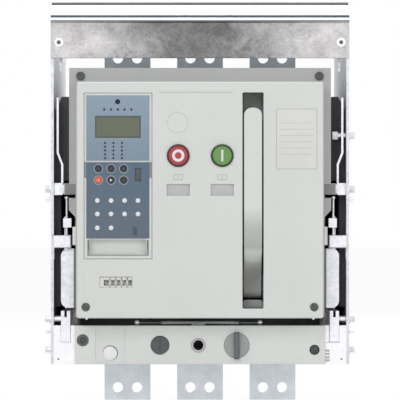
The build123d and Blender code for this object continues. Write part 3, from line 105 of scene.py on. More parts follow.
def newMaterial(name):
    # empty node tree with its output and the object's own coordinates, in metres
    material = bpy.data.materials.new(name)
    material.use_nodes = True
    tree = material.node_tree
    tree.nodes.clear()
    output = addNode(tree, "ShaderNodeOutputMaterial")
    place = addNode(tree, "ShaderNodeTexCoord").outputs["Object"]
    return material, tree, output, place


def perMetre(sizeMm):
    # noise scale that gives features of about this size
    return 1.0 / (sizeMm * mm)


def heightRamp(tree, place, stops, interpolation):
    # colour of each height: z from the first stop to the last becomes 0 to 1 on a colour ramp
    low, high = stops[0][0], stops[-1][0]
    z = addNode(tree, "ShaderNodeSeparateXYZ", {"Vector": place}).outputs[2]
    share = addNode(tree, "ShaderNodeMapRange", {
        "Value": z, "From Min": low * mm, "From Max": high * mm}).outputs[0]
    node = addNode(tree, "ShaderNodeValToRGB", {"Fac": share})
    node.color_ramp.interpolation = interpolation
    node.color_ramp.elements[0].color = linear(stops[0][1])
    node.color_ramp.elements[1].color = linear(stops[-1][1])
    for height, colour in stops[1:-1]:
        node.color_ramp.elements.new((height - low) / (high - low)).color = linear(colour)
    return z, node.outputs["Color"]


def mouldedPlastic(name, look):
    # ABS or nylon from a spark-eroded mould: an even matt colour, a fine grain, and a faint
    # cloudiness where handling has polished it
    material, tree, output, place = newMaterial(name)
    cloud = addNode(tree, "ShaderNodeTexNoise", {
        "Vector": place, "Scale": perMetre(look["cloudMm"]), "Detail": 3.0, "Roughness": 0.55}).outputs["Fac"]
    colour = addNode(tree, "ShaderNodeMix", {
        0: cloud, 6: linear(look["dark"]), 7: linear(look["light"])}, data_type="RGBA").outputs[2]
    if "tones" in look:
        # painted shade where the handle's face bends back from the front: the height ramp multiplies the colour,
        # darker over some heights
        tone = heightRamp(tree, place, look["tones"], "EASE")[1]
        colour = addNode(tree, "ShaderNodeMix", {
            0: 1.0, 6: colour, 7: tone}, data_type="RGBA", blend_type="MULTIPLY").outputs[2]
    grain = addNode(tree, "ShaderNodeTexNoise", {
        "Vector": place, "Scale": perMetre(look["grainMm"]), "Detail": 2.0}).outputs["Fac"]
    rough = addNode(tree, "ShaderNodeMapRange", {
        "Value": cloud, "From Min": 0.3, "From Max": 0.7,
        "To Min": look["rough"] - 0.04, "To Max": look["rough"] + 0.05}).outputs[0]
    bump = addNode(tree, "ShaderNodeBump", {
        "Height": grain, "Strength": look["bump"], "Distance": look["grainMm"] * 0.25 * mm}).outputs[0]
    shader = addNode(tree, "ShaderNodeBsdfPrincipled", {
        "Base Color": colour, "Roughness": rough, "Normal": bump, "IOR": 1.5})
    tree.links.new(shader.outputs[0], output.inputs[0])
    return material


def zincCoated(name, look):
    # hot-dip galvanised steel sheet: grey crystals a few millimetres across that tilt the light,
    # with a dull cloudy patina between them
    material, tree, output, place = newMaterial(name)
    warp = addNode(tree, "ShaderNodeTexNoise", {
        "Vector": place, "Scale": perMetre(look["cloudMm"]), "Detail": 5.0, "Roughness": 0.62, "Distortion": 0.6})
    crystal = addNode(tree, "ShaderNodeTexVoronoi", {
        "Vector": place, "Scale": perMetre(look["spangleMm"])}, feature="F1")
    tilt = addNode(tree, "ShaderNodeSeparateColor", {"Color": crystal.outputs["Color"]}).outputs[0]
    blend = addNode(tree, "ShaderNodeMix", {
        0: look["spangle"], 2: warp.outputs["Fac"], 3: tilt}).outputs[0]
    spread = addNode(tree, "ShaderNodeMapRange", {
        "Value": blend, "From Min": 0.30, "From Max": 0.72}).outputs[0]
    colour = addNode(tree, "ShaderNodeMix", {
        0: spread, 6: linear(look["dark"]), 7: linear(look["light"])}, data_type="RGBA").outputs[2]
    if "middle" in look:
        # painted reflection: the strip's middle is darker than its ends, a smooth step of |x|
        x = addNode(tree, "ShaderNodeSeparateXYZ", {"Vector": place}).outputs[0]
        away = addNode(tree, "ShaderNodeMath", {0: x}, operation="ABSOLUTE").outputs[0]
        wander = addNode(tree, "ShaderNodeMath", {
            0: warp.outputs["Fac"], 1: look["wanderMm"] * mm, 2: away}, operation="MULTIPLY_ADD").outputs[0]
        end = addNode(tree, "ShaderNodeMapRange", {
            "Value": wander, "From Min": look["fromMm"] * mm, "From Max": look["toMm"] * mm},
            interpolation_type="SMOOTHSTEP").outputs[0]
        middle = addNode(tree, "ShaderNodeMix", {
            0: spread, 6: linear(look["middleDark"]), 7: linear(look["middle"])}, data_type="RGBA").outputs[2]
        colour = addNode(tree, "ShaderNodeMix", {0: end, 6: middle, 7: colour}, data_type="RGBA").outputs[2]
    if "folds" in look:
        # painted highlights on the rolled bead and the folded lip, with painted shade in the creases between them
        z, row = heightRamp(tree, place, look["folds"], "CONSTANT")
        above = addNode(tree, "ShaderNodeMath", {
            0: z, 1: look["folds"][0][0] * mm}, operation="GREATER_THAN").outputs[0]
        colour = addNode(tree, "ShaderNodeMix", {0: above, 6: colour, 7: row}, data_type="RGBA").outputs[2]
    rough = addNode(tree, "ShaderNodeMapRange", {
        "Value": spread, "To Min": look["rough"] + 0.08, "To Max": look["rough"] - 0.06}).outputs[0]
    bump = addNode(tree, "ShaderNodeBump", {
        "Height": blend, "Strength": 0.25, "Distance": 0.05 * mm}).outputs[0]
    shader = addNode(tree, "ShaderNodeBsdfPrincipled", {
        "Base Color": colour, "Metallic": look.get("metallic", 1.0), "Roughness": rough, "Normal": bump})
    tree.links.new(shader.outputs[0], output.inputs[0])
    return material


def workedMetal(name, look):
    # rolled, turned or plated metal: faint marks along one direction and a soft uneven sheen
    material, tree, output, place = newMaterial(name)
    along = addNode(tree, "ShaderNodeMapping", {"Vector": place, "Scale": look["stretch"]}).outputs[0]
    marks = addNode(tree, "ShaderNodeTexNoise", {
        "Vector": along, "Scale": perMetre(look["markMm"]), "Detail": 4.0, "Roughness": 0.6}).outputs["Fac"]
    cloud = addNode(tree, "ShaderNodeTexNoise", {
        "Vector": place, "Scale": perMetre(look["cloudMm"]), "Detail": 4.0}).outputs["Fac"]
    both = addNode(tree, "ShaderNodeMix", {0: 0.5, 2: marks, 3: cloud}).outputs[0]
    spread = addNode(tree, "ShaderNodeMapRange", {
        "Value": both, "From Min": 0.36, "From Max": 0.64}).outputs[0]
    colour = addNode(tree, "ShaderNodeMix", {
        0: spread, 6: linear(look["dark"]), 7: linear(look["light"])}, data_type="RGBA").outputs[2]
    rough = addNode(tree, "ShaderNodeMapRange", {
        "Value": marks, "From Min": 0.3, "From Max": 0.7,
        "To Min": look["rough"] - 0.06, "To Max": look["rough"] + 0.08}).outputs[0]
    bump = addNode(tree, "ShaderNodeBump", {
        "Height": marks, "Strength": 0.2, "Distance": 0.02 * mm}).outputs[0]
    shader = addNode(tree, "ShaderNodeBsdfPrincipled", {
        "Base Color": colour, "Metallic": 1.0, "Roughness": rough, "Normal": bump})
    tree.links.new(shader.outputs[0], output.inputs[0])
    return material


def printedFilm(name, look):
    # polyester front foil with a fine satin emboss, printed from behind: one tone below the
    # split, a bluer one above it, each a little lighter upwards
    material, tree, output, place = newMaterial(name)
    z = addNode(tree, "ShaderNodeSeparateXYZ", {"Vector": place}).outputs[2]
    tones = []
    for tone in (look["lower"], look["upper"]):
        rise = addNode(tree, "ShaderNodeMapRange", {
            "Value": z, "From Min": tone["lowMm"] * mm, "From Max": tone["highMm"] * mm}).outputs[0]
        tones.append(addNode(tree, "ShaderNodeMix", {
            0: rise, 6: linear(tone["low"]), 7: linear(tone["high"])}, data_type="RGBA").outputs[2])
    above = addNode(tree, "ShaderNodeMath", {0: z, 1: look["splitMm"] * mm}, operation="GREATER_THAN").outputs[0]
    base = addNode(tree, "ShaderNodeMix", {0: above, 6: tones[0], 7: tones[1]}, data_type="RGBA").outputs[2]
    emboss = addNode(tree, "ShaderNodeTexNoise", {
        "Vector": place, "Scale": perMetre(look["grainMm"]), "Detail": 1.0}).outputs["Fac"]
    speck = addNode(tree, "ShaderNodeMapRange", {
        "Value": emboss, "From Min": 0.3, "From Max": 0.7, "To Min": 0.94, "To Max": 1.06}).outputs[0]
    colour = addNode(tree, "ShaderNodeVectorMath", {0: base, "Scale": speck}, operation="SCALE").outputs[0]
    bump = addNode(tree, "ShaderNodeBump", {
        "Height": emboss, "Strength": 0.25, "Distance": 0.02 * mm}).outputs[0]
    shader = addNode(tree, "ShaderNodeBsdfPrincipled", {
        "Base Color": colour, "Roughness": look["rough"], "Normal": bump, "IOR": 1.5})
    tree.links.new(shader.outputs[0], output.inputs[0])
    return material


def liquidCrystal(name, look):
    # reflective liquid-crystal glass: olive grey with a faint dot raster, with painted shade darker towards its frame
    material, tree, output, place = newMaterial(name)
    low, high = boxOf("display_window")
    middle = (low + high) / 2 * mm
    half = (high - low) / 2 * mm
    local = addNode(tree, "ShaderNodeMapping", {
        "Vector": place, "Location": [-c for c in middle]}).outputs[0]
    parts = addNode(tree, "ShaderNodeSeparateXYZ", {"Vector": local})
    across = addNode(tree, "ShaderNodeMath", {0: parts.outputs[0]}, operation="ABSOLUTE").outputs[0]
    upward = addNode(tree, "ShaderNodeMath", {0: parts.outputs[2]}, operation="ABSOLUTE").outputs[0]
    edge = look["edgeMm"] * mm
    sideShade = addNode(tree, "ShaderNodeMapRange", {
        "Value": across, "From Min": half[0] - edge, "From Max": half[0]}).outputs[0]
    topShade = addNode(tree, "ShaderNodeMapRange", {
        "Value": upward, "From Min": half[2] - edge, "From Max": half[2]}).outputs[0]
    shade = addNode(tree, "ShaderNodeMath", {0: sideShade, 1: topShade}, operation="MAXIMUM").outputs[0]
    raster = addNode(tree, "ShaderNodeTexNoise", {
        "Vector": place, "Scale": perMetre(look["cellMm"]), "Detail": 1.0}).outputs["Fac"]
    panel = addNode(tree, "ShaderNodeMix", {
        0: raster, 6: linear(look["dark"]), 7: linear(look["light"])}, data_type="RGBA").outputs[2]
    colour = addNode(tree, "ShaderNodeMix", {
        0: shade, 6: panel, 7: linear(look["edge"])}, data_type="RGBA").outputs[2]
    shader = addNode(tree, "ShaderNodeBsdfPrincipled", {
        "Base Color": colour, "Roughness": look["rough"], "IOR": 1.5, "Coat Weight": 0.3, "Coat Roughness": 0.1})
    tree.links.new(shader.outputs[0], output.inputs[0])
    return material


# printed inks share one thin, smooth and even surface; most other entries are moulded parts
ink = dict(cloudMm=5, grainMm=0.3, bump=0.02, rough=0.5)
plastics = {
    "coverAbs": dict(light="#e9ece9", dark="#e1e4e1", cloudMm=70, grainMm=0.9, bump=0.12, rough=0.46),
    "frameAbs": dict(light="#bfc0c0", dark="#b6b7b7", cloudMm=60, grainMm=0.9, bump=0.14, rough=0.52),
    "panelAbs": dict(light="#edf0ee", dark="#e6e8e6", cloudMm=60, grainMm=0.9, bump=0.12, rough=0.46),
    "tripAbs": dict(light="#e6e9e6", dark="#dee1de", cloudMm=40, grainMm=0.8, bump=0.12, rough=0.45),
    "blackPhenolic": dict(light="#4a4b50", dark="#303136", cloudMm=25, grainMm=1.1, bump=0.2, rough=0.5),
    "blackNylon": dict(light="#5a5b60", dark="#3b3c41", cloudMm=18, grainMm=0.9, bump=0.2, rough=0.55),
    "chuteBmc": dict(light="#55565a", dark="#3a3b3f", cloudMm=20, grainMm=1.0, bump=0.25, rough=0.6),
    "redAcetal": dict(light="#c4464f", dark="#b23b45", cloudMm=12, grainMm=0.5, bump=0.06, rough=0.32),
    "darkRedAcetal": dict(light="#4a1519", dark="#380e12", cloudMm=8, grainMm=0.5, bump=0.06, rough=0.35),
    "greenAcetal": dict(light="#7aa95d", dark="#6a994f", cloudMm=12, grainMm=0.5, bump=0.06, rough=0.32),
    "darkGreenAcetal": dict(light="#22371a", dark="#192b12", cloudMm=8, grainMm=0.5, bump=0.06, rough=0.35),
    "whiteAcetal": dict(light="#f8f8fb", dark="#eeeef2", cloudMm=10, grainMm=0.5, bump=0.05, rough=0.4),
    "flagPlastic": dict(light="#cfcfd1", dark="#c4c4c7", cloudMm=15, grainMm=0.6, bump=0.08, rough=0.45),
    "wheelPlastic": dict(light="#f1f1ef", dark="#e6e6e4", cloudMm=6, grainMm=0.4, bump=0.05, rough=0.5),
    "knobPlastic": dict(light="#b0b3b2", dark="#a4a6a6", cloudMm=14, grainMm=0.7, bump=0.1, rough=0.42),
    "barPlastic": dict(light="#74767a", dark="#66686c", cloudMm=14, grainMm=0.7, bump=0.1, rough=0.4),
    "releasePlastic": dict(light="#5d6063", dark="#4b4e51", cloudMm=7, grainMm=0.9, bump=0.2, rough=0.45),
    "keyRubber": dict(light="#33363b", dark="#25272b", cloudMm=4, grainMm=0.4, bump=0.1, rough=0.55),
    "orangeRubber": dict(light="#e86a47", dark="#d95b38", cloudMm=4, grainMm=0.4, bump=0.1, rough=0.5),
    "greyInk": dict(ink, light="#a9acab", dark="#9da09f", rough=0.6),
    "paleInk": dict(ink, light="#d9dadb", dark="#cbccce"),
    "darkInk": dict(ink, light="#1b2028", dark="#12161c"),
    "labelFoil": dict(light="#ecedeb", dark="#e4e5e3", cloudMm=20, grainMm=0.5, bump=0.03, rough=0.35),
    # the handle's tones are painted shade, darker where its face bends back
    "handleAbs": dict(light="#eef0ee", dark="#e8eae8", cloudMm=70, grainMm=0.9, bump=0.12, rough=0.46,
                      tones=[(60, "#ffffff"), (124, "#ffffff"), (133, "#e3e5e3"), (143, "#c6c8c6"), (158, "#cfd1cf"),
                             (192, "#fafbfa"), (320, "#fafbfa")]),
    "earAbs": dict(light="#919292", dark="#868787", cloudMm=20, grainMm=0.9, bump=0.14, rough=0.52),
    "slotAbs": dict(light="#d6d9d6", dark="#cbceca", cloudMm=20, grainMm=0.9, bump=0.12, rough=0.5),
    "dimInk": dict(ink, light="#6d7178", dark="#5e6269"),
    "ringInk": dict(ink, light="#b4bdc6", dark="#a7b0ba"),
    "hingeGrey": dict(light="#9a9ea1", dark="#8d9194", cloudMm=6, grainMm=0.5, bump=0.08, rough=0.5),
    # a dark grey ink for the test plug, used too as painted shade: the lock hole's shadow crescent and the pilot holes
    "plugInk": dict(light="#4f5964", dark="#424b56", cloudMm=5, grainMm=0.4, bump=0.05, rough=0.5),
    "orangeGlow": dict(light="#f39a80", dark="#ee8c70", cloudMm=4, grainMm=0.4, bump=0.05, rough=0.5),
    "whiteEnamel": dict(light="#ffffff", dark="#fcfcfd", cloudMm=10, grainMm=0.6, bump=0.02, rough=0.4),
    "ledgeAbs": dict(light="#e2e5e2", dark="#d8dbd8", cloudMm=14, grainMm=0.9, bump=0.12, rough=0.5),
    "screwShade": dict(light="#4b4e4d", dark="#3c3f3e", cloudMm=4, grainMm=0.4, bump=0.08, rough=0.5),
    "edgeGrey": dict(light="#7f8285", dark="#717477", cloudMm=12, grainMm=0.8, bump=0.08, rough=0.5),
    "boreShade": dict(light="#7c7f7b", dark="#6d706c", cloudMm=8, grainMm=0.6, bump=0.08, rough=0.55),
    "caseGrey": dict(light="#c9cac8", dark="#bcbdbb", cloudMm=10, grainMm=0.6, bump=0.06, rough=0.5),
    "portPlastic": dict(light="#5f6467", dark="#4e5356", cloudMm=6, grainMm=0.6, bump=0.1, rough=0.5),
}
zincs = {
    "sheetZinc": dict(light="#dfe1e4", dark="#c9cbd0", cloudMm=14, spangleMm=3.5, spangle=0.3, rough=0.42,
                      metallic=0.75),
    "brightZinc": dict(light="#ededf1", dark="#d9dae0", cloudMm=9, spangleMm=2.5, spangle=0.25, rough=0.45),
    "baseZinc": dict(light="#eeeef0", dark="#e4e4e8", cloudMm=20, spangleMm=3.0, spangle=0.2, rough=0.45),
    # the beam's middle colours are a painted reflection across its middle; its fold rows are painted highlights and
    # shade
    "beamZinc": dict(light="#cbc9ca", dark="#b3b1b3", cloudMm=22, spangleMm=2.2, spangle=0.22, rough=0.5,
                     metallic=0.9, middle="#808081", middleDark="#656566", fromMm=50, toMm=200, wanderMm=80,
                     folds=[(411.0, "#7c8590"), (412.5, "#f4f8fd"), (415.4, "#3b444e"), (418.9, "#ffffff"),
                            (432.3, "#55585a"), (434.7, "#a6a6a7"), (437.5, "#a6a6a7")]),
    # a lighter, nearly matt copy of zinc: painted light on the support plates, which sit in shade
    "shadeZinc": dict(light="#c3c5c6", dark="#a5a7a9", cloudMm=12, spangleMm=2.5, spangle=0.2, rough=0.5,
                      metallic=0.2),
}
metals = {
    "silverPlate": dict(light="#e3e8ec", dark="#ccd3d9", markMm=0.8, cloudMm=18, rough=0.4, stretch=(1, 1, 0.06)),
    # silver plate darkened: painted shade on the upper terminals, which sit deep in the gap
    "silverShade": dict(light="#959ca0", dark="#858c90", markMm=0.8, cloudMm=18, rough=0.45, stretch=(1, 1, 0.06)),
    "brightSteel": dict(light="#efeff0", dark="#d0d0d2", markMm=0.5, cloudMm=4, rough=0.34, stretch=(1, 0.1, 1)),
    "greySteel": dict(light="#b4b5b5", dark="#8a8b8b", markMm=0.6, cloudMm=3, rough=0.45, stretch=(1, 0.1, 1)),
    "darkSteel": dict(light="#6c6e6c", dark="#434543", markMm=0.5, cloudMm=3, rough=0.42, stretch=(1, 0.1, 1)),
    # painted shade: steel made black so the racking screw looks like the dark crank socket it sits in
    "blackSteel": dict(light="#26272a", dark="#131417", markMm=0.5, cloudMm=5, rough=0.4, stretch=(1, 0.1, 1)),
}
finishes = {name: mouldedPlastic(name, look) for name, look in plastics.items()}
finishes.update((name, zincCoated(name, look)) for name, look in zincs.items())
finishes.update((name, workedMetal(name, look)) for name, look in metals.items())
faceLow, faceHigh = boxOf("trip_unit_face")
upperPartMm = 91.1
splitZ = faceLow[2] + upperPartMm
finishes["frontFoil"] = printedFilm("frontFoil", dict(
    upper=dict(low="#8597a9", high="#95a7b9", lowMm=splitZ, highMm=faceHigh[2]),
    lower=dict(low="#616e7d", high="#586f84", lowMm=faceLow[2], highMm=splitZ),
    splitMm=splitZ, grainMm=0.7, rough=0.42))
finishes["displayGlass"] = liquidCrystal("displayGlass", dict(
    light="#6c7262", dark="#5e6450", edge="#454b42", edgeMm=2.8, cellMm=0.9, rough=0.3))
print("materials made,", len(finishes))


# Meshes

def makeObject(name, vertices, faces, finish, body, angle=35.0, outward=True):
    # a finished piece: metres, origin at zero, smooth except at edges sharper than the angle
    mesh = bpy.data.meshes.new(name)
    mesh.from_pydata((np.asarray(vertices, float) * mm).tolist(), [], [list(f) for f in faces])
    if outward:
        work = bmesh.new()
        work.from_mesh(mesh)
        bmesh.ops.remove_doubles(work, verts=work.verts, dist=1e-7)
        bmesh.ops.recalc_face_normals(work, faces=work.faces)
        work.to_mesh(mesh)
        work.free()
    mesh.shade_smooth()
    mesh.set_sharp_from_angle(angle=math.radians(angle))
    mesh.materials.append(finishes[finish])
    obj = bpy.data.objects.new(name, mesh)
    bpy.context.collection.objects.link(obj)
    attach(obj, body)
    return obj


def gridFaces(rows, columns, closeRows=False, closeColumns=True):
    # quads between neighbours of a rows by columns grid, numbered row by row
    r = np.arange(rows if closeRows else rows - 1)
    c = np.arange(columns if closeColumns else columns - 1)
    a, b = np.meshgrid(r, c, indexing="ij")
    nextA, nextB = (a + 1) % rows, (b + 1) % columns
    corners = (a * columns + b, a * columns + nextB, nextA * columns + nextB, nextA * columns + b)
    return np.stack(corners, axis=-1).reshape(-1, 4)


def gridObject(name, points, finish, body, slot, closeRows=False, closeColumns=True, caps=True, angle=35.0):
    # surface over a grid of points; open ends get one closing face each
    rows, columns = points.shape[:2]
    faces = [list(f) for f in gridFaces(rows, columns, closeRows, closeColumns)]
    if caps and closeColumns and not closeRows:
        faces.append(list(range(columns)))
        faces.append(list(range((rows - 1) * columns, rows * columns)))
    return makeObject(name, points.reshape(-1, 3), faces, finish, body, angle)


def roundedOutline(width, height, corner, inset=0.0, cornerSteps=8):
    # rectangle with quarter-circle corners, walked once round: corner centre plus radius times (cos, sin)
    radius = max(corner - inset, 1e-4)
    halfX, halfZ = width / 2 - inset - radius, height / 2 - inset - radius
    quarter = np.linspace(0, math.pi / 2, cornerSteps)
    turn = np.concatenate([quarter + k * math.pi / 2 for k in range(4)])
    signX = np.repeat([1, -1, -1, 1], cornerSteps)
    signZ = np.repeat([1, 1, -1, -1], cornerSteps)
    return signX * halfX + radius * np.cos(turn), signZ * halfZ + radius * np.sin(turn)


def plate(name, middle, size, corner, frontY, thick, finish, body, slot, edge=0.15):
    # flat plate with a rounded front edge: outline rings that shrink along a quarter circle
    bend = np.linspace(0, math.pi / 2, 4)
    insets = np.concatenate([[0.0], edge * (1 - np.cos(bend))])
    depths = np.concatenate([[frontY + thick], frontY + edge * (1 - np.sin(bend))])
    rings = []
    for inset, depth in zip(insets, depths):
        x, z = roundedOutline(size[0], size[1], corner, inset)
        rings.append(np.stack([middle[0] + x, np.full_like(x, depth), middle[1] + z], -1))
    return gridObject(name, np.array(rings), finish, body, slot)


def band(name, middle, size, corner, width, frontY, thick, finish, body, slot):
    # flat frame: four rings, outer back, outer front, inner front and inner back, closed both ways
    rings = []
    for inset, depth in ((0, frontY + thick), (0, frontY), (width, frontY), (width, frontY + thick)):
        x, z = roundedOutline(size[0], size[1], corner, inset)
        rings.append(np.stack([middle[0] + x, np.full_like(x, depth), middle[1] + z], -1))
    return gridObject(name, np.array(rings), finish, body, slot, closeRows=True)


def joined(name, parts):
    # several pieces of one finish and body become one object
    target = parts[0]
    work = bmesh.new()
    for part in parts:
        work.from_mesh(part.data)
    work.to_mesh(target.data)
    work.free()
    target.data.set_sharp_from_angle(angle=math.radians(35))
    target.name = name
    for part in parts[1:]:
        bpy.data.objects.remove(part)
    return target


def dress(node, finish, edge=0.3, angle=32.0):
    # merged copy of a CAD node with its sharp edges broken, standing for the node
    source = nodes[node]
    mesh = source.data.copy()
    work = bmesh.new()
    work.from_mesh(mesh)
    bmesh.ops.remove_doubles(work, verts=work.verts, dist=2e-6)
    bmesh.ops.dissolve_limit(work, angle_limit=math.radians(0.5), verts=work.verts, edges=work.edges)
    work.to_mesh(mesh)
    work.free()
    mesh.shade_smooth()
    mesh.set_sharp_from_angle(angle=math.radians(angle))
    mesh.materials.clear()
    mesh.materials.append(finishes[finish])
    obj = bpy.data.objects.new("dressed_" + node, mesh)
    bpy.context.collection.objects.link(obj)
    if edge:
        bevel = obj.modifiers.new("brokenEdge", "BEVEL")
        bevel.width = edge * mm
        bevel.segments = 2
        bevel.limit_method = "ANGLE"
        bevel.angle_limit = math.radians(angle)
        bevel.harden_normals = True
    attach(obj, bodyOf[node])
    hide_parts(node)
    return obj


def paint(node, finish):
    # a CAD node keeps its own mesh and takes a finish
    data = nodes[node].data
    data.materials.clear()
    data.materials.append(finishes[finish])
    return nodes[node]


plainNodes = {
    "side_plate_left": ("sheetZinc", 0.4), "side_plate_right": ("sheetZinc", 0.4),
    "top_beam": ("beamZinc", 0.5), "base_pan": ("baseZinc", 0.4), "front_panel": ("panelAbs", 0.4),
    "rear_insulator": ("blackPhenolic", 0.5), "guide_rail_left": ("brightZinc", 0.3),
    "guide_rail_right": ("brightZinc", 0.3), "side_guide_left": ("blackNylon", 0.6),
    "side_guide_right": ("blackNylon", 0.6), "catch_left": ("brightZinc", 0.5), "catch_right": ("brightZinc", 0.5),
    "crank_bushing": ("caseGrey", 0.3), "cradle_bolts": ("brightSteel", 0.3), "panel_screws": ("darkSteel", 0.2),
    "racking_carriage": ("baseZinc", 0.4), "extension_rail_left": ("brightZinc", 0.4),
    "extension_rail_right": ("brightZinc", 0.4), "rail_latch_left": ("brightZinc", 0.3),
    "rail_latch_right": ("brightZinc", 0.3), "front_frame": ("frameAbs", 0.8), "front_cover": ("coverAbs", 0.4),
    "breaker_case": ("blackPhenolic", 0.6), "disconnect_clusters": ("silverPlate", 0.4),
    "fixed_contacts": ("silverPlate", 0.3), "lower_contact_bars": ("silverPlate", 0.3),
    # the support plates take a zinc painted lighter, as painted light in their shade
    "support_plates": ("shadeZinc", 0.4), "trip_unit": ("tripAbs", 0.4), "trip_unit_face": ("frontFoil", 0.0),
    "display_window": ("displayGlass", 0.0), "cover_screws": ("darkSteel", 0.2), "handle_pin": ("darkSteel", 0.3),
    "counter_case": ("caseGrey", 0.0), "counter_wheels": ("wheelPlastic", 0.2),
    "counter_units_wheel": ("wheelPlastic", 0.2), "contact_flag": ("flagPlastic", 0.3),
    "charge_flag": ("flagPlastic", 0.3), "main_shaft": ("darkSteel", 0.3), "moving_contacts": ("silverPlate", 0.3),
    "off_button": ("redAcetal", 0.0), "on_button": ("greenAcetal", 0.0), "charging_handle": ("handleAbs", 0.5),
    "position_indicator": ("knobPlastic", 0.0), "release_button": ("releasePlastic", 0.0)}
for pole in ("left", "middle", "right"):
    # the upper terminals take a darkened silver as painted shade
    plainNodes["upper_terminal_" + pole] = ("silverShade", 0.5)
    plainNodes["lower_terminal_" + pole] = ("silverPlate", 0.5)
    plainNodes["arc_chute_" + pole] = ("chuteBmc", 0.4)
for number in range(1, 7):
    plainNodes["key_%d" % number] = ("orangeRubber" if number == 4 else "keyRubber", 0.0)
for node, (finish, edge) in plainNodes.items():
    if edge:
        dress(node, finish, edge)
    else:
        paint(node, finish)
print("nodes dressed,", len(plainNodes))


# Round things on the front

def turnedSet(name, centres, profile, finish, body, slot, steps=32, closeRows=False, angle=35.0):
    # the same surface of revolution about Y at several centres, as one piece
    radius, reach = np.array(profile, float).T
    turn = np.linspace(0, 2 * math.pi, steps, endpoint=False)
    shape = np.stack([radius[:, None] * np.cos(turn), np.broadcast_to(-reach[:, None], (len(radius), steps)),
                      radius[:, None] * np.sin(turn)], -1)
    spots = np.asarray(centres, float)
    points = spots[:, None, None, :] + shape[None]
    one = [list(f) for f in gridFaces(len(radius), steps, closeRows, True)]
    if not closeRows:
        one += [list(range(steps)), list(range((len(radius) - 1) * steps, len(radius) * steps))]
    count = len(radius) * steps
    faces = [[v + k * count for v in face] for k in range(len(spots)) for face in one]
    return makeObject(name, points.reshape(-1, 3), faces, finish, body, angle)


def dome(radius, height, rows=6, flat=0.0):
    # profile from the rim up to a pole: radius times cos, height times sin, with a flat middle
    rise = np.linspace(0, math.pi / 2, rows)
    rim = [(radius, -0.2)]
    return rim + [(max(flat + (radius - flat) * math.cos(a), 0.02), height * math.sin(a)) for a in rise]


def disc(radius, height, back=0.2):
    # profile of a thin printed dot
    return [(radius, -back), (radius, height * 0.7), (radius - 0.1, height), (0.02, height)]


def ring(inner, outer, height, back=0.1):
    # profile of a flat ring: its four corners, closed into a loop
    return [(outer, -back), (outer, height), (inner, height), (inner, -back)]


def mirrored(x, y, z):
    # the same spot at the left and at the right: x times -1 and 1
    return [(-x, y, z), (x, y, z)]


def roundTable(rows):
    # one surface of revolution per dictionary, repeated at its spots
    for name, row in rows.items():
        turnedSet(name, row["spots"], row["profile"], row["finish"], *seatOf(row["node"]), row["steps"],
                  row.get("closed", False))


def plateTable(rows):
    # one plate per dictionary: its front stands "raised" before its "face", "edge" rounds it
    return [plate(name, row["middle"], row["size"], row["corner"], row["face"] - row["raised"], row["thick"],
                  row["finish"], *seatOf(row["node"]), row["edge"]) for name, row in rows.items()]


# trip unit: printed dots, status lamps, key rings and white studs in rows and columns on the foil
faceFront = faceLow[1]
foil = dict(node="trip_unit_face")
columns = dict(dots=(-113.2, -105.2, -97.2, -89.2, -81.2), lamps=(-112.3, -102.4, -92.3),
               keys=(-120.2, -105.1, -90.2), studs=(-121.4, -105.2, -89.2, -73.3), lastStuds=(-121.4, -105.2))
heights = dict(dots=304.0, lamps=(264.5, 260.0, 255.5, 251.0, 246.5), keys=(234.1, 220.5), studs=(196.4, 180.5),
               lastStuds=164.1)
roundTable({
    "printedDots": dict(foil, spots=[(x, faceFront, heights["dots"]) for x in columns["dots"]],
                        profile=disc(radius=1.4, height=0.12), finish="darkInk", steps=16),
    "statusLamps": dict(foil, spots=[(x, faceFront, z) for x in columns["lamps"] for z in heights["lamps"]],
                        profile=dome(radius=1.25, height=0.5, rows=4), finish="darkInk", steps=14),
    "keyRings": dict(foil, spots=[(x, faceFront, z) for x in columns["keys"] for z in heights["keys"]],
                     profile=ring(inner=4.6, outer=5.5, height=0.15), finish="ringInk", steps=32, closed=True),
    "whiteStuds": dict(foil, spots=[(x, faceFront, z) for z in heights["studs"] for x in columns["studs"]]
                       + [(x, faceFront, heights["lastStuds"]) for x in columns["lastStuds"]],
                       profile=dome(radius=2.85, height=0.9, rows=6, flat=1.6), finish="whiteAcetal", steps=28)})

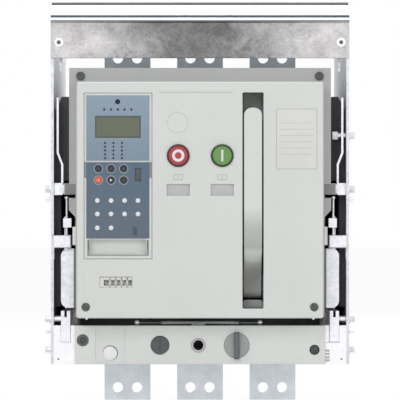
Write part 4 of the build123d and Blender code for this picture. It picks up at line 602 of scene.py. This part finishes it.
# trip unit: the strip between the two tones, the hinges, the lower recess, the test plug and the port cover
unitLow, unitHigh = boxOf("trip_unit")
unitMiddle = (unitLow + unitHigh) / 2
hinge = dict(size=(2.6, 19.0), corner=0.6, face=unitLow[1], raised=0.5, thick=1.2, finish="hingeGrey", edge=0.3,
             node="trip_unit")
recess = dict(corner=0.3, face=unitLow[1], raised=0.12, thick=0.3, edge=0.05, node="trip_unit")
plateTable({
    "unitStrip": dict(foil, middle=(unitMiddle[0], 242.5), size=(unitHigh[0] - unitLow[0] - 1.0, 1.8), corner=0.5,
                      face=unitLow[1], raised=0.3, thick=0.8, finish="paleInk", edge=0.15),
    "hinge_left": dict(hinge, middle=(unitLow[0] + 1.5, 232.5)),
    "hinge_right": dict(hinge, middle=(unitHigh[0] - 1.8, 232.5)),
    "latchSlot_left": dict(recess, middle=(-132.0, 144.0), size=(2.2, 11.6), finish="boreShade"),
    "latchStep_left": dict(recess, middle=(-132.0, 135.1), size=(2.6, 6.0), finish="hingeGrey"),
    "latchSlot_right": dict(recess, middle=(-61.8, 144.0), size=(2.2, 11.6), finish="boreShade"),
    "latchStep_right": dict(recess, middle=(-61.8, 135.1), size=(2.6, 6.0), finish="hingeGrey"),
    "recessLine": dict(recess, middle=(-96.9, 131.5), size=(72.8, 1.1), finish="hingeGrey"),
    "testPlug": dict(foil, middle=(-76.9, 160.2), size=(4.8, 9.7), corner=0.6, face=faceFront, raised=0.5,
                     thick=0.8, finish="plugInk", edge=0.2),
    "portCover": dict(foil, middle=(-73.3, 227.0), size=(7.0, 15.4), corner=0.6, face=faceFront, raised=-1.2,
                      thick=2.6, finish="portPlastic", edge=0.3)})
roundTable({"sensorLens": dict(foil, spots=[(-97.4, faceFront + 2.2, 313.3)],
                               profile=dome(radius=2.9, height=1.2, rows=6), finish="darkInk", steps=28)})
print("trip unit finished")

# keys: a faint bar on four dark caps, a white arrow on the fifth and a lighter middle on the orange one
orangeKey, arrowKey = 4, 5
barSizes = {1: (2.2, 0.5), 2: (0.5, 2.2), 3: (1.8, 0.9), 6: (2.2, 0.5)}
arrow = dict(profile=disc(radius=1.9, height=0.12), finish="whiteAcetal", steps=3, shift=0.2)
glowSpot = dict(profile=disc(radius=2.0, height=0.08), finish="orangeGlow", steps=24)
keyBar = dict(corner=0.2, raised=0.1, thick=0.2, finish="dimInk", edge=0.05)
for number in range(1, 7):
    node = "key_%d" % number
    low, high = boxOf(node)
    x, z = (low[0] + high[0]) / 2, (low[2] + high[2]) / 2
    if number == arrowKey:
        roundTable({"mark_" + node: dict(arrow, spots=[(x - arrow["shift"], low[1], z)], node=node)})
    elif number == orangeKey:
        roundTable({"mark_" + node: dict(glowSpot, spots=[(x, low[1], z)], node=node)})
    else:
        plateTable({"mark_" + node: dict(keyBar, middle=(x, z), size=barSizes[number], face=low[1], node=node)})
print("keys marked")

# push buttons: a dark collar round each cap, a white ring on the one and a bar on the other
collar = dict(profile=[(11.1, -1.2), (11.1, 0.02), (12.1, 0.06), (12.7, -0.12), (13.1, -0.5), (13.24, -1.2),
                       (13.24, -3.4), (13.0, -3.4), (13.0, -1.6)], steps=64, closed=True)
offMark = dict(profile=ring(inner=4.0, outer=7.3, height=0.25), finish="whiteAcetal", steps=48, closed=True, sunk=0.8)
onMark = dict(size=(2.4, 13.8), corner=0.5, raised=-0.55, thick=0.4, finish="whiteAcetal", edge=0.15)
for node, finish in (("off_button", "darkRedAcetal"), ("on_button", "darkGreenAcetal")):
    low, high = boxOf(node)
    x, z = (low[0] + high[0]) / 2, (low[2] + high[2]) / 2
    roundTable({"collar_" + node: dict(collar, spots=[(x, low[1], z)], finish=finish, node=node)})
    if node == "off_button":
        roundTable({"offMark": dict(offMark, spots=[(x, low[1] + offMark["sunk"], z)], node=node)})
    else:
        plateTable({"onMark": dict(onMark, middle=(x, z), face=low[1], node=node)})
print("buttons marked")

# cover: a bare rating label with its border and rules, a faint moulded line, signs over the windows
coverFront = boxOf("front_cover")[0][1]
onCover = dict(face=coverFront, node="front_cover")
coverInk = dict(onCover, finish="greyInk", edge=0.05)
label = dict(middle=(114.3, 269.1), size=(49.4, 72.7), corner=1.0, border=0.5, inset=1.2, rules=6, pitch=7.4,
             top=288.0, length=40.0, line=0.3, raised=0.34)
plateTable({"ratingPlate": dict(onCover, middle=label["middle"], size=label["size"], corner=1.5, raised=0.3,
                                thick=0.5, finish="labelFoil", edge=0.1)})
band("ratingBorder", label["middle"], (label["size"][0] - label["inset"], label["size"][1] - label["inset"]),
     label["corner"], label["border"], coverFront - label["raised"], label["line"], "greyInk",
     *seatOf("front_cover"))
ruleHeights = label["top"] - label["pitch"] * np.arange(label["rules"])
joined("ratingRules", plateTable({
    "rule%d" % k: dict(coverInk, middle=(label["middle"][0], z), size=(label["length"], label["line"]), corner=0.1,
                       raised=label["raised"], thick=0.2) for k, z in enumerate(ruleHeights)}))
plateTable({"mouldLine": dict(coverInk, middle=(-4.7, 324.3), size=(86.6, 0.5), corner=0.2, raised=0.1, thick=0.3)})
signRow = dict(z=224.0, size=(11.0, 6.4), corner=1.0, width=0.5, raised=0.12, thick=0.3)
signBar = dict(coverInk, size=(4.0, 0.5), corner=0.2, raised=signRow["raised"], thick=signRow["thick"])
for side, x in (("left", -25.7), ("right", 26.3)):
    band("sign_" + side, (x, signRow["z"]), signRow["size"], signRow["corner"], signRow["width"],
         coverFront - signRow["raised"], signRow["thick"], "greyInk", *seatOf("front_cover"))
    plateTable({"signBar_" + side: dict(signBar, middle=(x, signRow["z"]))})

# frame and cover: rings of painted shade round the screws, light beads under the cover, side ears, the wall above the
# handle
roundTable({
    "screwRims": dict(spots=mirrored(142.6, -169.6, 345.0), finish="screwShade", node="cover_screws", steps=40,
                      profile=ring(inner=2.9, outer=5.15, height=0.1, back=2.4), closed=True),
    "lowerRims": dict(spots=mirrored(135.0, coverFront, 70.4), finish="boreShade", node="front_cover", steps=40,
                      profile=ring(inner=4.3, outer=5.25, height=0.05, back=0.5), closed=True),
    "latchBeads": dict(spots=mirrored(134.0, coverFront + 2.4, 56.9), finish="whiteAcetal", node="front_cover",
                       steps=20, profile=dome(radius=1.5, height=0.9, rows=5))})
ear = dict(size=(12.6, 12.6), corner=0.5, face=-167.35, raised=0, thick=0.6, finish="earAbs", edge=0.15,
           node="front_frame")
inSlot = dict(face=-168.2, raised=0, thick=1.2, node="front_frame")
slotX, slotWidth = 62.7, 20.6
plateTable({
    "earPlate_left": dict(ear, middle=(-155.0, 209.8)),
    "earPlate_right": dict(ear, middle=(155.0, 209.8)),
    "slotWall": dict(inSlot, middle=(slotX, 315.4), size=(slotWidth, 17.6), corner=0.4, finish="slotAbs",
                     edge=0.1)})
print("cover finished")

# counter: figures on the wheels' rims, and the pale mask with one window per wheel
wheels = dict(pitch=6.8, firstX=-109.8, y=-191.0, z=99.8, radius=8.0, height=4.1, count=5, figures=10, size=0.92,
              bold=0.035, film=0.04)


def digitOn(text, x, turn, body, slot):
    # a printed figure bent round its wheel: the height above the middle line becomes an angle
    curve = bpy.data.curves.new("figure", "FONT")
    curve.body = text
    curve.size = wheels["height"] * wheels["size"]
    curve.offset = wheels["height"] * wheels["bold"]
    curve.align_x = "CENTER"
    curve.align_y = "CENTER"
    holder = bpy.data.objects.new("figure", curve)
    bpy.context.collection.objects.link(holder)
    flat = bpy.data.meshes.new_from_object(holder.evaluated_get(bpy.context.evaluated_depsgraph_get()))
    bpy.data.objects.remove(holder)
    places = np.empty(len(flat.vertices) * 3)
    flat.vertices.foreach_get("co", places)
    places = places.reshape(-1, 3)
    radius = wheels["radius"] + wheels["film"]
    angle = places[:, 1] / radius + turn
    bent = np.stack([x + places[:, 0], wheels["y"] - radius * np.cos(angle), wheels["z"] + radius * np.sin(angle)], -1)
    faces = [list(p.vertices) for p in flat.polygons]
    bpy.data.meshes.remove(flat)
    return makeObject("digit_%s_%.0f_%.0f" % (text, -x * 10, math.degrees(turn)), bent, faces, "darkInk", body,
                      35.0, False)


for step in range(wheels["count"]):
    node = "counter_units_wheel" if step == wheels["count"] - 1 else "counter_wheels"
    x = wheels["firstX"] + step * wheels["pitch"]
    figures = [digitOn(str(figure), x, math.radians(36 * figure), *seatOf(node))
               for figure in range(wheels["figures"])]
    joined("digits_%d" % step, figures)
mask = dict(corner=0.2, face=-204.7, raised=0, thick=0.8, finish="labelFoil", edge=0.1, node="front_cover")
maskRows = {"maskBlock": dict(mask, middle=(-115.9, 99.6), size=(4.6, 12.0), corner=0.3)}
for k, (z, tall) in enumerate(((104.1, 3.2), (94.7, 2.4))):
    maskRows["maskBar%d" % k] = dict(mask, middle=(-97.0, z), size=(33.4, tall))
for k in range(wheels["count"] - 1):
    x = wheels["firstX"] + (k + 0.5) * wheels["pitch"]
    maskRows["maskRib%d" % k] = dict(mask, middle=(x, 99.6), size=(1.2, 12.0))
joined("counterMask", plateTable(maskRows))
print("counter figures printed")

# lower panel: pointer bar on the knob, lock disc with a painted shadow crescent behind it, crank ring, and rings of
# painted shade in the screw bores and sockets
knobLow, knobHigh = boxOf("position_indicator")
knobX, knobZ = (knobLow[0] + knobHigh[0]) / 2, (knobLow[2] + knobHigh[2]) / 2
onKnob = dict(face=knobLow[1], node="position_indicator")
knobEnd = dict(onKnob, size=(6.3, 1.5), corner=0.4, raised=0.15, thick=3.0, finish="plugInk", edge=0.2)
knobLine = dict(onKnob, size=(1.1, 28.0), corner=0.3, raised=0.15, thick=1.2, finish="plugInk", edge=0.1)
plateTable({
    "pointerBar": dict(onKnob, middle=(knobX, knobZ), size=(6.2, 32.0), corner=0.9, raised=0.1, thick=6.2,
                       finish="barPlastic", edge=0.5),
    "pointerEnd_top": dict(knobEnd, middle=(knobX, knobZ + 15.4)),
    "pointerEnd_bottom": dict(knobEnd, middle=(knobX, knobZ - 15.4)),
    "pointerLine_left": dict(knobLine, middle=(knobX - 2.4, knobZ)),
    "pointerLine_right": dict(knobLine, middle=(knobX + 2.4, knobZ))})
panelFront = boxOf("front_panel")[0][1]
headFront = boxOf("panel_screws")[0][1]
onPanel = dict(node="front_panel", steps=48)
boreY, leftScrew, rightScrew = -157.1, (-140.5, 28.9), (137.2, 17.5)
roundTable({
    "lockShade": dict(onPanel, spots=[(-107.6, -156.2, 13.5)], profile=disc(radius=9.05, height=0.1, back=0.2),
                      finish="plugInk"),
    "lockDisc": dict(onPanel, spots=[(-108.0, -156.5, 13.1)], profile=disc(radius=8.5, height=0.2, back=0.2),
                     finish="whiteEnamel"),
    "crankRing": dict(spots=[(-2.0, panelFront - 1.0, 22.8)], finish="caseGrey", node="crank_bushing", steps=48,
                      profile=ring(inner=6.7, outer=8.7, height=0.05, back=0.3), closed=True),
    "boreRings": dict(onPanel, spots=[(leftScrew[0], boreY, leftScrew[1])], finish="boreShade",
                      profile=ring(inner=4.6, outer=7.2, height=0.1, back=0.2), closed=True),
    "boreRing": dict(onPanel, spots=[(rightScrew[0], boreY, rightScrew[1])], finish="screwShade",
                     profile=ring(inner=4.5, outer=6.0, height=0.1, back=0.2), closed=True),
    "socketRims": dict(spots=[(x, headFront, z) for x, z in (leftScrew, rightScrew)], finish="screwShade",
                       node="panel_screws", steps=40, closed=True,
                       profile=ring(inner=2.2, outer=4.3, height=0.08, back=0.4)),
    "beamWashers": dict(spots=mirrored(169.2, -158.7, 386.0), finish="baseZinc", node="top_beam", steps=40,
                        profile=ring(inner=2.5, outer=5.3, height=0.1, back=1.2), closed=True)})

# handle slot: the moulded ledge under the handle's lower end
handleFoot = boxOf("charging_handle")[0][2]
ledge = dict(floorZ=67.4, shorter=71.0)
plateTable({"slotLedge": dict(inSlot, middle=(slotX, (handleFoot + ledge["floorZ"]) / 2),
                              size=(slotWidth, handleFoot - ledge["shorter"]), corner=0.5, finish="ledgeAbs",
                              edge=0.2)})
print("panel and slot finished")

# breaker's side: a grey return edge behind the cover and a bright tongue above it
edgeStrip = dict(size=(3.0, 71.0), corner=0.4, face=-156.5, raised=0, thick=1.2, finish="edgeGrey", edge=0.15,
                 node="breaker_case")
tongue = dict(size=(4.4, 22.0), corner=0.8, face=-157.0, raised=0, thick=1.4, finish="whiteEnamel", edge=0.2,
              node="breaker_case")
for side, sign in (("left", -1), ("right", 1)):
    plateTable({"returnEdge_" + side: dict(edgeStrip, middle=(sign * 150.0, 103.0)),
                "tongue_" + side: dict(tongue, middle=(sign * 150.6, 154.0))})

# base: two pilot holes as dark discs of painted shade, a stay wire with its two nuts, a ribbed stop and a line at the
# right, ribbed side nuts
baseFront = boxOf("base_pan")[0][1]
roundTable({
    "pilotHoles": dict(spots=mirrored(169.8, baseFront, 6.2), profile=disc(radius=1.1, height=0.05, back=0.1),
                       finish="plugInk", node="base_pan", steps=16),
    "stayNuts": dict(spots=[(x, -150.6, 50.0) for x in (-75.6, 72.0)],
                     profile=dome(radius=3.0, height=1.6, rows=6), finish="brightSteel", node="base_pan", steps=24)})
plateTable({"stayWire": dict(middle=(-1.8, 49.4), size=(147.0, 0.7), corner=0.3, face=-150.4, raised=0, thick=0.7,
                             finish="greySteel", edge=0.1, node="base_pan")})
stopRib = dict(size=(6.6, 2.6), corner=0.6, face=baseFront, raised=0.7, thick=0.9, finish="caseGrey", edge=0.3,
               node="base_pan")
joined("ribbedStop", plateTable({"rib%d" % k: dict(stopRib, middle=(152.4, z))
                                 for k, z in enumerate((16.4, 12.4, 8.4, 4.6))}))
nutRib = dict(size=(6.2, 1.3), corner=0.3, face=boxOf("cradle_bolts")[0][1], raised=-1.5, thick=5.0,
              finish="brightZinc", edge=0.3, node="cradle_bolts")
for side, sign in (("left", -1), ("right", 1)):
    joined("ribbedNut_" + side, plateTable({"rib%d" % k: dict(nutRib, middle=(sign * 182.4, z))
                                            for k, z in enumerate((200.2, 197.8, 195.4, 39.6, 37.4))}))
plateTable({"stopLine": dict(middle=(158.5, 26.4), size=(19.0, 0.7), corner=0.2, face=baseFront, raised=0.12,
                             thick=0.3, finish="caseGrey", edge=0.05, node="base_pan")})
print("base finished")

# racking screw: a ridge that winds round the core, a square socket in its front end
screw = dict(core=5.2, crest=5.97, lead=4.0, rows=16, steps=32, socket=3.5, depth=14.0, journal=4.0,
             journalLength=6.0, head=12.0, gap=1.0, step=0.5, chamfer=0.4, pole=0.02)
low, high = boxOf("racking_screw")
screwX, screwZ = (low[0] + high[0]) / 2, (low[2] + high[2]) / 2
frontY, rearY = low[1], high[1]
journalY = rearY - screw["journalLength"]
turn = np.linspace(0, 2 * math.pi, screw["steps"], endpoint=False)
square = screw["socket"] / np.maximum(np.abs(np.cos(turn)), np.abs(np.sin(turn)))
threadFrom, threadTo = frontY + screw["head"], journalY - screw["gap"]
alongY = np.linspace(threadFrom, threadTo, int((threadTo - threadFrom) / screw["lead"] * screw["rows"]))
phase = np.mod(alongY[:, None] / screw["lead"] - turn[None] / (2 * math.pi), 1.0)
# a flat crest and a flat root with sloping sides: the distance from mid-lead, scaled and cut to 0 and 1
ridge = screw["core"] + (screw["crest"] - screw["core"]) * np.clip(1.6 - 3.2 * np.abs(phase - 0.5) - 0.3, 0, 1)
full = np.ones_like(turn)
rows = [(rearY, full * screw["pole"]), (rearY, full * screw["journal"]), (journalY, full * screw["journal"]),
        (journalY, full * screw["core"])]
rows += [(y, r) for y, r in zip(alongY[::-1], ridge[::-1])]
rows += [(threadFrom - screw["step"], full * screw["crest"]), (frontY + screw["chamfer"], full * screw["crest"]),
         (frontY, full * (screw["crest"] - screw["chamfer"])), (frontY, square), (frontY + screw["depth"], square),
         (frontY + screw["depth"], full * screw["pole"])]
depths = np.array([row[0] for row in rows])
radii = np.array([row[1] for row in rows])
points = np.stack([screwX + radii * np.cos(turn), np.broadcast_to(depths[:, None], radii.shape),
                   screwZ + radii * np.sin(turn)], -1)
# the screw's black finish is painted shade for the dark crank socket
threaded = gridObject("threadedScrew", points, "blackSteel", *seatOf("racking_screw"))
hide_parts("racking_screw")
print("racking gear finished")

# Room: camera, floor, world and lamps, in metres
view = dict(lens=253.6, sensor=36.0, reach=100.0, place=(0.0, -3.535, 0.197), tilt=90)
camera = bpy.data.cameras.new("camera")
camera.lens = view["lens"]
camera.sensor_width = view["sensor"]
camera.clip_end = view["reach"]
cameraObject = bpy.data.objects.new("camera", camera)
cameraObject.location = view["place"]
cameraObject.rotation_euler = (math.radians(view["tilt"]), 0.0, 0.0)
bpy.context.collection.objects.link(cameraObject)
bpy.context.scene.camera = cameraObject


def seenDirectly(tree):
    # 1 for a camera, glossy or transmission ray and 0 for any other: the largest of the three flags
    rays = addNode(tree, "ShaderNodeLightPath")
    direct = addNode(tree, "ShaderNodeMath", {0: rays.outputs["Is Camera Ray"], 1: rays.outputs["Is Glossy Ray"]},
                     operation="MAXIMUM").outputs[0]
    return addNode(tree, "ShaderNodeMath", {0: direct, 1: rays.outputs["Is Transmission Ray"]},
                   operation="MAXIMUM").outputs[0]


# the floor looks white where it is seen, keeps the object's shadow and lights the object like matt paper
ground = dict(below=0.0004, halfX=6, nearY=-8, farY=12, glowShare=0.85, glowStrength=1.06)
floorZ = cadBounds[0][2] - ground["below"]
floorMesh = bpy.data.meshes.new("floor")
floorMesh.from_pydata([(-ground["halfX"], ground["nearY"], floorZ), (ground["halfX"], ground["nearY"], floorZ),
                       (ground["halfX"], ground["farY"], floorZ), (-ground["halfX"], ground["farY"], floorZ)],
                      [], [(0, 1, 2, 3)])
floor = bpy.data.objects.new("floor", floorMesh)
bpy.context.collection.objects.link(floor)
material, tree, output, place = newMaterial("paleFloor")
share = addNode(tree, "ShaderNodeMath", {0: seenDirectly(tree), 1: ground["glowShare"]},
                operation="MULTIPLY").outputs[0]
matt = addNode(tree, "ShaderNodeBsdfDiffuse", {"Color": linear("#f2f2f0")}).outputs[0]
glow = addNode(tree, "ShaderNodeEmission", {
    "Color": linear("#ffffff"), "Strength": ground["glowStrength"]}).outputs[0]
tree.links.new(addNode(tree, "ShaderNodeMixShader", {0: share, 1: matt, 2: glow}).outputs[0], output.inputs[0])
floorMesh.materials.append(material)

# white where it is seen directly, a softer fill for all other rays
sky = dict(fill=0.45, seen=1.0)
world = bpy.data.worlds.new("room")
bpy.context.scene.world = world
world.use_nodes = True
tree = world.node_tree
tree.nodes.clear()
level = addNode(tree, "ShaderNodeMapRange", {
    "Value": seenDirectly(tree), "To Min": sky["fill"], "To Max": sky["seen"]}).outputs[0]
back = addNode(tree, "ShaderNodeBackground", {"Color": linear("#ffffff"), "Strength": level}).outputs[0]
addNode(tree, "ShaderNodeOutputWorld", {0: back})

roomLamps = {
    "frontLamp": dict(place=(-0.9, -3.2, 1.5), aim=(0, 0, 0.2), size=1.6, power=22),
    "fillLamp": dict(place=(1.4, -2.6, 0.7), aim=(0, 0, 0.2), size=1.4, power=9),
    "topLamp": dict(place=(0.0, 0.2, 2.4), aim=(0, 0, 0.2), size=1.6, power=16),
    "backLamp": dict(place=(0.6, 2.6, 1.2), aim=(0, 0, 0.2), size=1.4, power=10)}
for name, lamp in roomLamps.items():
    data = bpy.data.lights.new(name, "AREA")
    data.shape = "DISK"
    data.size = lamp["size"]
    data.energy = lamp["power"]
    holder = bpy.data.objects.new(name, data)
    holder.location = lamp["place"]
    holder.rotation_euler = (Vector(lamp["aim"]) - Vector(lamp["place"])).to_track_quat("-Z", "Y").to_euler()
    bpy.context.collection.objects.link(holder)
bpy.context.scene.view_settings.view_transform = "Standard"
print("room lit")
